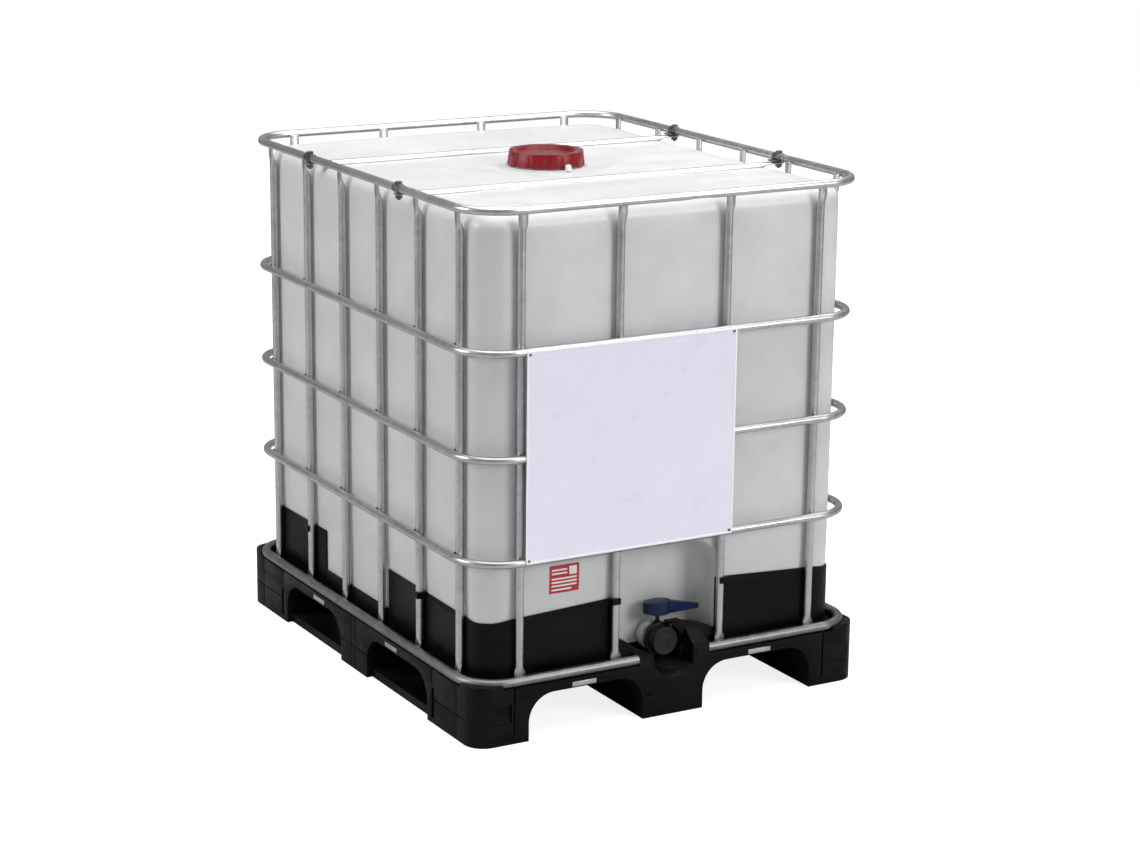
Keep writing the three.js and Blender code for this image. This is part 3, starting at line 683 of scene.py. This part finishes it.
# The white square and the bars, each a stretch along and a stretch up.
across, up = apart.outputs["X"], apart.outputs["Z"]
marks = None
for x_range, z_range in (
    ((-0.250, -0.231), (0.3520, 0.3710)),
    ((-0.293, -0.255), (0.3635, 0.3675)),
    ((-0.293, -0.255), (0.3555, 0.3595)),
    ((-0.293, -0.231), (0.3435, 0.3475)),
    ((-0.293, -0.231), (0.3355, 0.3395)),
    ((-0.293, -0.231), (0.3275, 0.3315)),
    ((-0.293, -0.244), (0.3185, 0.3225)),
):
    mark = product(tree, within(tree, across, *x_range), within(tree, up, *z_range))
    if marks is not None:
        mark = shader_node(tree, "ShaderNodeMath", {"operation": "MAXIMUM"}, i0=marks, i1=mark).outputs[0]
    marks = mark
cloud = placed(tree, clouds, Scale=20.0, Detail_Scale=200.0).outputs["Mask"]
ink = blend_colour(tree, cloud, (0.42, 0.012, 0.02), (0.5, 0.02, 0.03))
tree.links.new(blend_colour(tree, marks, ink, (0.8, 0.78, 0.78)), shader.inputs["Base Color"])
tree.links.new(blend_value(tree, cloud, 0.25, 0.4), shader.inputs["Roughness"])
hand_in(sticker, printed, "container", "label_plate")

# ---------------------------------------------------------------- corner guards
# Four thin cups of black polypropylene round the bottle's lower corners. Each is hooked over the
# next upright at both ends and stands on the pallet's seat.
GUARD_HALF_X = 0.4634
GUARD_HALF_Y = 0.5611
GUARD_WALL = 0.0037
GUARD_FOOT = 0.1404
GUARD_TOP = 0.268
GUARD_END_X = 0.1295
GUARD_CORNER = 0.0636
GUARD_DIP = 0.010
GUARD_REACH = {"front": (-1, 0.112), "rear": (1, 0.227)}
RIM_LIFT = {"left": (0.004, 0.008), "right": (0.009, 0.011)}
HOOK_LIFT = 0.004
HOOK_FOOT = 0.254
HOOK_ROOM = 0.0093
UPRIGHT_X = 0.4727
UPRIGHT_Y = 0.5707


def another(piece, move=(0, 0, 0), turn=0.0, flip=None):
    """A copy with its own mesh, moved, turned about the upright axis or mirrored."""
    copy = piece.copy()
    copy.data = piece.data.copy()
    scene.collection.objects.link(copy)
    change = Matrix.Translation(move) @ Matrix.Rotation(turn, 4, "Z")
    if flip:
        change = change @ Matrix.Diagonal((*flip, 1))
    copy.data.transform(change)
    if flip and flip[0] * flip[1] * flip[2] < 0:
        copy.data.flip_normals()
    return copy


def hook_blocks(axis, along, face):
    """The tab beside an upright and the hook over it, as two blocks."""
    centre = UPRIGHT_Y if axis == "y" else UPRIGHT_X
    inside, outside = centre - HOOK_ROOM, centre + HOOK_ROOM
    beside = along + HOOK_ROOM
    stem = ((beside, beside + 0.004), (inside - 0.0038, outside + 0.003))
    hook = ((along - 0.007, beside + 0.004), (outside, outside + 0.003))
    made = []
    for (a0, a1), (d0, d1) in (stem, hook):
        if axis == "y":
            first, last = sorted((face * d0, face * d1))
            made.append(block("hook", (a0, first, HOOK_FOOT), (a1, last, GUARD_TOP)))
        else:
            first, last = sorted((face * a0, face * a1))
            made.append(block("hook", (d0, first, HOOK_FOOT), (d1, last, GUARD_TOP)))
    return made


for end, (face, reach) in GUARD_REACH.items():
    # A ring of wall all round the bottle, of which one corner is kept.
    guard = block(
        "guard", (-GUARD_HALF_X, -GUARD_HALF_Y, GUARD_FOOT), (GUARD_HALF_X, GUARD_HALF_Y, GUARD_TOP)
    )
    pick_edges(guard, lambda a, b: abs(a.z - b.z) > 0.1)
    bpy.ops.mesh.bevel(offset=GUARD_CORNER, segments=14, affect="EDGES")
    leave_edit()
    pick_faces(guard, lambda middle, normal: abs(normal.z) > 0.9)
    bpy.ops.mesh.delete(type="FACE")
    leave_edit()
    slice_up(guard, 2, [0.175, 0.2, 0.225, 0.245, 0.257])
    apply_modifier(guard, "SOLIDIFY", thickness=GUARD_WALL, offset=-1.0)
    near, far = sorted((face * reach, face * 0.7))
    cut(guard, block("keep", (GUARD_END_X, near, 0.1), (0.6, far, 0.4)), "INTERSECT")
    for point in guard.data.vertices:
        # The rim dips round the corner.
        place = point.co
        round_corner = ease(abs(place.x), 0.36, 0.45) * ease(abs(place.y), 0.46, 0.55)
        place.z -= GUARD_DIP * round_corner * ease(place.z, 0.225, GUARD_TOP)
    for tab in hook_blocks("y", END_PLACES[2], face) + hook_blocks("x", SIDE_PLACES[4], face):
        cut(guard, tab, "UNION")
    mirrored = another(guard, flip=(-1, 1, 1))
    for cup in (guard, mirrored):
        for point in cup.data.vertices:
            # The rim curves up towards the hook beside the valve.
            place = point.co
            if face < 0 and place.y < -0.5:
                plain, curved = RIM_LIFT["right" if place.x > 0 else "left"]
                lift = plain * (1 - ease(abs(place.x), 0.44, 0.463))
                lift += curved * (1 - ease(abs(place.x), 0.13, 0.34))
                lift += HOOK_LIFT * (place.y < -0.5625)
                place.z += lift * ease(place.z, 0.175, 0.253)
        round_edges(cup, 0.0011, 2, 50)
    guard.name = f"corner_guard_{end}_right_cup"
    mirrored.name = f"corner_guard_{end}_left_cup"
    hand_in(guard, black_plastic, "container", "black_plastic", f"corner_guard_{end}_right")
    hand_in(mirrored, black_plastic, "container", "black_plastic", f"corner_guard_{end}_left")

# ---------------------------------------------------------------- cage rings
# Five closed hoops of zinc-coated steel tube, bent at the corners; the top one's ends are crimped
# into each other, and the lowest is open in front, where its ends tuck into the valve's saddle.
RING_X = 0.491
RING_Y = 0.589
RING_CORNER = 0.105
RING_TUBE = 0.009
LOW_CORNER = 0.086
LOW_TUBE = 0.011
LOW_HEIGHT = 0.137
RING_HEIGHTS = {"low_ring": 0.4025, "mid_ring": 0.6315, "high_ring": 0.862, "top_ring": 1.1635}
CORNER_STEPS = 64


def hoop(name, tube, corner, height):
    """A ring of tube: a torus whose quarters are moved out to the corners."""
    half_step = math.pi / CORNER_STEPS
    deselect()
    bpy.ops.mesh.primitive_torus_add(
        major_radius=corner / math.cos(half_step),
        minor_radius=tube,
        major_segments=CORNER_STEPS,
        minor_segments=20,
        location=(0, 0, height),
        rotation=(0, 0, half_step),
    )
    ring = named(name)
    for x_side, y_side in ALL_CORNERS:
        pick_points(ring, lambda place: place.x * x_side > 0 and place.y * y_side > 0)
        bpy.ops.transform.translate(value=(x_side * (RING_X - corner), y_side * (RING_Y - corner), 0))
        leave_edit()
    return ring


for node_name, height in RING_HEIGHTS.items():
    ring = hoop(node_name + "_tube", RING_TUBE, RING_CORNER, height)
    if node_name == "top_ring":
        # Two crimped lines and the seam where one end is pushed into the other.
        slice_up(ring, 0, [0.012, 0.016, 0.030, 0.034, 0.066, 0.070, 0.084, 0.088])
        for low, high, size in ((0.029, 0.035, 0.86), (0.065, 0.071, 0.86), (0.015, 0.017, 1.0)):
            pick_points(ring, lambda place: low < place.x < high and place.y < 0)
            bpy.ops.transform.resize(value=(1, size, size), center_override=(0.05, -RING_Y, height))
            leave_edit()
    hand_in(ring, zinc, "container", "galvanised_steel", node_name)
# The lowest hoop is of thicker tube and duller zinc.
low_ring = hoop("bottom_ring_tube", LOW_TUBE, LOW_CORNER, LOW_HEIGHT)
cut(low_ring, block("opening", (-0.088, -0.62, 0.1), (0.094, -0.56, 0.18)))
zinc_low = galvanised_steel("galvanised_steel_low", (0.19, 0.187, 0.183), (0.29, 0.284, 0.278), (0.36, 0.48))
hand_in(low_ring, zinc_low, "container", "galvanised_steel", "bottom_ring")

# ---------------------------------------------------------------- uprights
# Twenty lengths of the same tube inside the hoops, flattened and flared at the foot and at the head,
# and spot-welded wherever a hoop crosses.
UPRIGHT_FOOT = 0.126
UPRIGHT_HEAD = 1.162
# The height where an end is flat, the height where it is round again, the flat's half thickness
# and half width, and how far it is pressed outwards.
FOOT_SHAPE = (0.148, 0.165, 0.0030, 0.0138, 0.0040)
HEAD_SHAPE = (1.136, 1.112, 0.0030, 0.0118, 0.0060)

upright = rod("upright", RING_TUBE, (0, 0, UPRIGHT_FOOT), (0, 0, UPRIGHT_HEAD), 20)
slice_up(upright, 2, steps(FOOT_SHAPE[0], FOOT_SHAPE[1], 5) + steps(HEAD_SHAPE[1], HEAD_SHAPE[0], 5))
levels = sorted({round(point.co.z, 5) for point in upright.data.vertices})
for flat, plain, thin, wide, shift in (FOOT_SHAPE, HEAD_SHAPE):
    for level in levels:
        share = 1 - ease(abs(level - flat), 0, abs(plain - flat))
        if (level - flat) * (plain - flat) < 0:
            share = 1.0
        if share > 0:
            pick_points(upright, lambda place: abs(place.z - level) < 0.0001)
            bpy.ops.transform.resize(
                value=(1 + share * (thin / RING_TUBE - 1), 1 + share * (wide / RING_TUBE - 1), 1),
                center_override=(0, 0, level),
            )
            bpy.ops.transform.translate(value=(-share * shift, 0, 0))
            leave_edit()
round_edges(upright, 0.0005, 1, 60)
rows = (
    ("left", [(-UPRIGHT_X, y) for y in SIDE_PLACES], 0.0),
    ("right", [(UPRIGHT_X, y) for y in SIDE_PLACES], math.pi),
    ("front", [(x, -UPRIGHT_Y) for x in END_PLACES], math.pi / 2),
    ("rear", [(x, UPRIGHT_Y) for x in END_PLACES], -math.pi / 2),
)
for side, places, turn in rows:
    for number, (x, y) in enumerate(places, 1):
        tube = another(upright, (x, y, 0), turn)
        tube.name = f"{side}_upright_{number}_tube"
        hand_in(tube, zinc, "container", "galvanised_steel", f"{side}_upright_{number}")
bpy.data.objects.remove(upright)

# ---------------------------------------------------------------- spot welds
# Small burnt nuggets where hoop and upright were pressed together and welded.
WELD_SIZE = (0.0032, 0.0042, 0.0052)
WELD_OUT = 0.0092
WELD_BESIDE = 0.0052
WELD_STAGGER = 0.004


def joined(name, pieces):
    """Several shapes made one piece."""
    deselect()
    for piece in pieces:
        piece.select_set(True)
    bpy.context.view_layer.objects.active = pieces[0]
    bpy.ops.object.join()
    pieces[0].name = name
    return pieces[0]


deselect()
bpy.ops.mesh.primitive_uv_sphere_add(segments=10, ring_count=6, radius=1.0)
bpy.context.object.scale = WELD_SIZE
nugget = named("weld")
welds = []
for side, places, turn in rows:
    for x, y in places:
        between = Vector((x, y, 0)) + Matrix.Rotation(turn, 3, "Z") @ Vector((-WELD_OUT, 0, 0))
        beside = Matrix.Rotation(turn, 3, "Z") @ Vector((0, WELD_BESIDE, 0))
        for ring_name in ("low_ring", "mid_ring", "high_ring"):
            for way in (-1, 1):
                height = RING_HEIGHTS[ring_name] + WELD_STAGGER * way
                spot = between + beside * way + Vector((0, 0, height))
                welds.append(another(nugget, spot, turn))
bpy.data.objects.remove(nugget)
welds = joined("spot_welds", welds)
burnt = galvanised_steel("weld_steel", (0.06, 0.058, 0.056), (0.2, 0.19, 0.185), (0.5, 0.7))
hand_in(welds, burnt, "container", "galvanised_steel")

# ---------------------------------------------------------------- bars over the bottle
# Two tubes across the top, flattened at their ends. A pressed steel saddle and a bolt at each end
# clamp them to the top hoop.
BAR_END = 0.4995
BAR_BEND = (0.436, 0.458)
TAB_RISE = 0.005
TAB_WIDER = 0.333
TAB_THINNER = 0.667
for name, line in zip(("cross_bar_front", "cross_bar_rear"), BAR_LINES):
    bar = rod(name + "_tube", RING_TUBE, (-BAR_END, line, BAR_HEIGHT), (BAR_END, line, BAR_HEIGHT), 20)
    bends = steps(*BAR_BEND, 5)
    slice_up(bar, 0, [-bend for bend in bends] + bends)
    levels = sorted({round(point.co.x, 5) for point in bar.data.vertices})
    for level in levels:
        share = ease(abs(level), *BAR_BEND)
        if share > 0:
            pick_points(bar, lambda place: abs(place.x - level) < 0.0001)
            bpy.ops.transform.resize(
                value=(1, 1 + share * TAB_WIDER, 1 - share * TAB_THINNER),
                center_override=(level, line, BAR_HEIGHT),
            )
            bpy.ops.transform.translate(value=(0, 0, share * TAB_RISE))
            leave_edit()
    round_edges(bar, 0.0005, 1, 60)
    hand_in(bar, zinc, "container", "galvanised_steel", name)

dark_zinc = galvanised_steel("bolt_steel", (0.08, 0.08, 0.083), (0.22, 0.22, 0.225), (0.35, 0.5))
SADDLE_RADIUS = 0.0107
SADDLE_BORE = 0.0092
SADDLE_HALF = 0.015
EAR_X = (0.0085, 0.0215)
EAR_Z = (1.1545, 1.1575)
top = RING_HEIGHTS["top_ring"]
saddle = rod("saddle", SADDLE_RADIUS, (0, -SADDLE_HALF, top), (0, SADDLE_HALF, top), 28)
cut(saddle, rod("saddle_bore", SADDLE_BORE, (0, -0.02, top), (0, 0.02, top), 28))
ear = block("ear", (EAR_X[0], -SADDLE_HALF, EAR_Z[0]), (EAR_X[1], SADDLE_HALF, EAR_Z[1]))
cut(saddle, ear, "UNION")
round_edges(saddle, 0.0005, 2, 40)
saddles = []
for x_side in (-1, 1):
    for y in BAR_LINES:
        saddles.append(another(saddle, (x_side * RING_X, y, 0), math.pi if x_side > 0 else 0.0))
bpy.data.objects.remove(saddle)
hand_in(joined("bar_saddles", saddles), dark_zinc, "container", "galvanised_steel")
BOLTS = 4
for number in range(1, BOLTS + 1):
    bolt = merged_copy(f"cross_bar_bolt_{number}", f"cross_bar_bolt_{number}_hex", dark_zinc)
    round_edges(bolt, 0.0005, 2, 30)
    hand_in(bolt, dark_zinc, "container", "galvanised_steel", f"cross_bar_bolt_{number}")

# ---------------------------------------------------------------- plate
# A blank steel sheet with a folded rim, painted pale lavender and screwed to two hoops.
PLATE_X = (-0.376, 0.146)
PLATE_Z = (0.400, 0.866)
PLATE_FRONT = -0.6
PLATE_THICKNESS = 0.0015
PLATE_RIM = 0.005
SCREW_PLACES = ((-0.369, 0.8595), (0.138, 0.8595), (0.138, 0.4065), (-0.369, 0.4065))
plate = block(
    "label_plate_sheet",
    (PLATE_X[0], PLATE_FRONT, PLATE_Z[0]),
    (PLATE_X[1], PLATE_FRONT + PLATE_THICKNESS, PLATE_Z[1]),
)
pick_edges(plate, lambda a, b: abs(a.y - b.y) > 0.001)
bpy.ops.mesh.bevel(offset=0.006, segments=5, affect="EDGES")
leave_edit()
pick_faces(plate, lambda middle, normal: normal.y < -0.9)
bpy.ops.mesh.inset(thickness=0.0042)
bpy.ops.mesh.inset(thickness=0.0008, depth=0)
bpy.ops.transform.translate(value=(0, 0.0009, 0))
leave_edit()
round_edges(plate, 0.0003, 2, 30)
lavender, tree, shader = new_material("lavender_enamel")
cloud = placed(tree, clouds, Scale=2.5, Detail_Scale=16.0).outputs["Mask"]
enamel = blend_colour(tree, cloud, (0.8, 0.795, 0.92), (0.83, 0.825, 0.95))
place = shader_node(tree, "ShaderNodeTexCoord").outputs["Object"]
apart = shader_node(tree, "ShaderNodeSeparateXYZ", Vector=place)
field = product(
    tree,
    within(tree, apart.outputs["X"], PLATE_X[0] + PLATE_RIM, PLATE_X[1] - PLATE_RIM),
    within(tree, apart.outputs["Z"], PLATE_Z[0] + PLATE_RIM, PLATE_Z[1] - PLATE_RIM),
)
tree.links.new(blend_colour(tree, field, (0.93, 0.93, 0.95), enamel), shader.inputs["Base Color"])
tree.links.new(blend_value(tree, cloud, 0.26, 0.36), shader.inputs["Roughness"])
bump(tree, shader, placed(tree, grain, Scale=120.0).outputs["Height"], 0.00012, 0.5)
hand_in(plate, lavender, "container", "label_plate", "label_plate", angle=30)
screws = []
for x, z in SCREW_PLACES:
    head = rod("screw", 0.0042, (x, PLATE_FRONT + 0.0002, z), (x, PLATE_FRONT + 0.0016, z), 20)
    low = (x - 0.003, PLATE_FRONT - 0.001, z - 0.0005)
    high = (x + 0.003, PLATE_FRONT + 0.0008, z + 0.0005)
    cut(head, block("slot", low, high))
    screws.append(head)
screws = joined("plate_screws", screws)
round_edges(screws, 0.0002, 1, 40)
hand_in(screws, dark_zinc, "container", "galvanised_steel")

# ---------------------------------------------------------------- outlet valve
# A quarter-turn ball valve of black plastic, screwed to the bottle's outlet with a union nut. The
# blue lever sits on a stem above it.
NUT_RIM = 0.0365
NUT_SIZE = 0.88
STEM_LINE = -0.527
LEVER_MIDDLE = 0.228
LEVER_FLATNESS = 0.62
LEVER_HUB = 1.18
valve_black = moulded_plastic(
    "valve_plastic", (0.004, 0.0042, 0.0046), (0.008, 0.0083, 0.009), (0.32, 0.46), 0.06, 0.25
)
pale = moulded_plastic("pale_plastic", (0.6, 0.6, 0.6), (0.7, 0.7, 0.7), (0.4, 0.5), 0.1)
rubber = moulded_plastic("seal_rubber", (0.01, 0.01, 0.01), (0.016, 0.016, 0.016), (0.7, 0.8), 0.1, 0.3)
blue = moulded_plastic(
    "blue_plastic", (0.002, 0.007, 0.045), (0.003, 0.012, 0.068), (0.3, 0.45), 0.02, 0.28
)


def dress(name, material):
    """Gives a CAD node that stays visible its finish."""
    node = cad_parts[name]
    node.data.materials.clear()
    node.data.materials.append(material)


def from_axis(place):
    """How far a place lies from the valve's level axis."""
    return math.hypot(place.x, place.z - VALVE_AXIS)


body = merged_copy("valve_body", "valve_body_casting", valve_black)
round_edges(body, 0.0009, 2, 45)
hand_in(body, valve_black, "container", "valve_plastic", "valve_body")
nut = merged_copy("valve_union_nut", "valve_union_nut_ring", pale)
for point in nut.data.vertices:
    place = point.co
    if from_axis(place) > NUT_RIM:
        place.x *= NUT_SIZE
        place.z = VALVE_AXIS + (place.z - VALVE_AXIS) * NUT_SIZE
round_edges(nut, 0.0009, 2, 45)
hand_in(nut, pale, "container", "pale_plastic", "valve_union_nut")
lever = merged_copy("valve_handle", "valve_handle_lever", blue)
enter_edit(lever)
bpy.ops.mesh.select_all(action="SELECT")
bpy.ops.transform.resize(value=(1, LEVER_FLATNESS, 1), center_override=(0, STEM_LINE, LEVER_MIDDLE))
leave_edit()
for point in lever.data.vertices:
    place = point.co
    if place.x < -0.005:
        place.x *= LEVER_HUB
        if place.z < 0.22:
            place.z += 0.005 * ease(-place.x, 0.005, 0.036)
round_edges(lever, 0.0024, 3, 45)
hand_in(lever, blue, "valve_handle_body", "blue_plastic", "valve_handle")
for node_name, material in (
    ("valve_ball", pale), ("valve_stem", valve_black), ("outlet_seal", rubber), ("dust_cap_seal", rubber),
):
    dress(node_name, material)

# ---------------------------------------------------------------- dust cap
# A shallow screw cap over the valve's mouth, moulded in black with a ribbed edge and a sunk face.
CAP_FRONT = -0.564
CAP_BACK = -0.539
CAP_RADIUS = 0.033
CAP_INSIDE = 0.0280


def ribbed(piece, low, high, depth):
    """Presses in every second face of a turned side wall, for grip."""
    mesh = enter_edit(piece, "FACE")
    sides = []
    for face in mesh.faces:
        middle = face.calc_center_median()
        if low < middle.y < high and abs(face.normal.y) < 0.1:
            sides.append((math.atan2(middle.z - VALVE_AXIS, middle.x), face))
    sides.sort(key=lambda side: side[0])
    for number, (_, face) in enumerate(sides):
        face.select_set(number % 2 == 0)
    bmesh.update_edit_mesh(piece.data)
    bpy.ops.mesh.inset(thickness=0.0006, use_individual=True)
    bpy.ops.transform.shrink_fatten(value=-depth)
    leave_edit()


dust_cap = rod("dust_cap_shell", CAP_RADIUS, (0, CAP_BACK, VALVE_AXIS), (0, CAP_FRONT, VALVE_AXIS), 60)
slice_up(dust_cap, 1, [-0.5605])
ribbed(dust_cap, -0.5604, -0.54, 0.0009)
pick_points(dust_cap, lambda place: abs(place.y - CAP_FRONT) < 0.0001)
bpy.ops.transform.resize(value=(0.93, 1, 0.93), center_override=(0, CAP_FRONT, VALVE_AXIS))
leave_edit()
# The face: a rim, a step down, and a disc in the middle that stands up a little.
pick_faces(dust_cap, lambda middle, normal: normal.y < -0.95)
bpy.ops.mesh.inset(thickness=0.0035)
bpy.ops.mesh.inset(thickness=0.0010)
bpy.ops.transform.translate(value=(0, 0.0012, 0))
bpy.ops.mesh.inset(thickness=0.016)
bpy.ops.mesh.inset(thickness=0.0010)
bpy.ops.transform.translate(value=(0, -0.0008, 0))
leave_edit()
# The hollow that goes over the valve's mouth.
pick_faces(dust_cap, lambda middle, normal: normal.y > 0.95 and from_axis(middle) < 0.01)
bpy.ops.mesh.inset(thickness=CAP_RADIUS - CAP_INSIDE)
bpy.ops.mesh.extrude_region_move(TRANSFORM_OT_translate={"value": (0, -0.0218, 0)})
leave_edit()
round_edges(dust_cap, 0.0004, 2, 35)
cap_black = moulded_plastic(
    "cap_plastic", (0.008, 0.0082, 0.0088), (0.013, 0.0134, 0.014), (0.36, 0.5), 0.06, 0.3
)
hand_in(dust_cap, cap_black, "dust_cap_body", "valve_plastic", "dust_cap")

# ---------------------------------------------------------------- fill cap
# The big red screw cap on the bottle's neck: a raised rim round a sunk disc, grip notches down its
# side and a small pale locking tab. A gasket and a liner disc lie under it.
LID_RADIUS = 0.0898
LID_FOOT = 1.1502
LID_TOP = 1.182
LID_SIDES = 96
LID_NOTCHES = 14
LID_INSIDE = 0.0822
NOTCH_RADIUS = 0.0058
red = moulded_plastic("red_plastic", (0.15, 0.001, 0.003), (0.22, 0.002, 0.007), (0.26, 0.36), 0.55, 0.35)
lid = rod("fill_cap_shell", LID_RADIUS, (0, 0, LID_FOOT), (0, 0, LID_TOP), LID_SIDES)
notches = []
for number in range(LID_NOTCHES):
    turn = 2 * math.pi * (number + 0.35) / LID_NOTCHES
    x, y = (LID_RADIUS + 0.0020) * math.cos(turn), (LID_RADIUS + 0.0020) * math.sin(turn)
    notches.append(rod("notch", NOTCH_RADIUS, (x, y, LID_FOOT - 0.01), (x, y, LID_TOP - 0.0065), 16))
pick_points(lid, lambda place: abs(place.z - LID_TOP) < 0.0001)
bpy.ops.transform.resize(value=(0.955, 0.955, 1), center_override=(0, 0, LID_TOP))
leave_edit()
# The top: a broad rim, a slope down to the sunk disc, and a low disc in its middle.
pick_faces(lid, lambda middle, normal: normal.z > 0.95)
bpy.ops.mesh.inset(thickness=0.017)
bpy.ops.mesh.inset(thickness=0.004)
bpy.ops.transform.translate(value=(0, 0, -0.0092))
bpy.ops.mesh.inset(thickness=0.022)
bpy.ops.mesh.inset(thickness=0.0015)
bpy.ops.transform.translate(value=(0, 0, 0.002))
leave_edit()
# The hollow that goes over the neck.
pick_faces(lid, lambda middle, normal: normal.z < -0.95 and middle.to_2d().length < 0.01)
bpy.ops.mesh.inset(thickness=LID_RADIUS - LID_INSIDE)
bpy.ops.mesh.extrude_region_move(TRANSFORM_OT_translate={"value": (0, 0, 0.0203)})
leave_edit()
cut(lid, joined("notches", notches))
round_edges(lid, 0.0007, 2, 30)
hand_in(lid, red, "fill_cap_body", "red_plastic", "fill_cap", angle=28)

# The locking tab stands on the neck's foot beside the cap and stays there.
tab = block("lock_tab", (-0.0020, -0.1040, 1.1455), (0.0120, -0.0905, 1.1600))
pick_points(tab, lambda place: place.z > 1.158)
bpy.ops.transform.resize(value=(0.8, 0.55, 1), center_override=(0.005, -0.0915, 1.16))
leave_edit()
round_edges(tab, 0.0015, 3, 40)
hand_in(tab, pale, "container", "pale_plastic")
dress("fill_cap_seal", rubber)
dress("fill_cap_liner", pale)
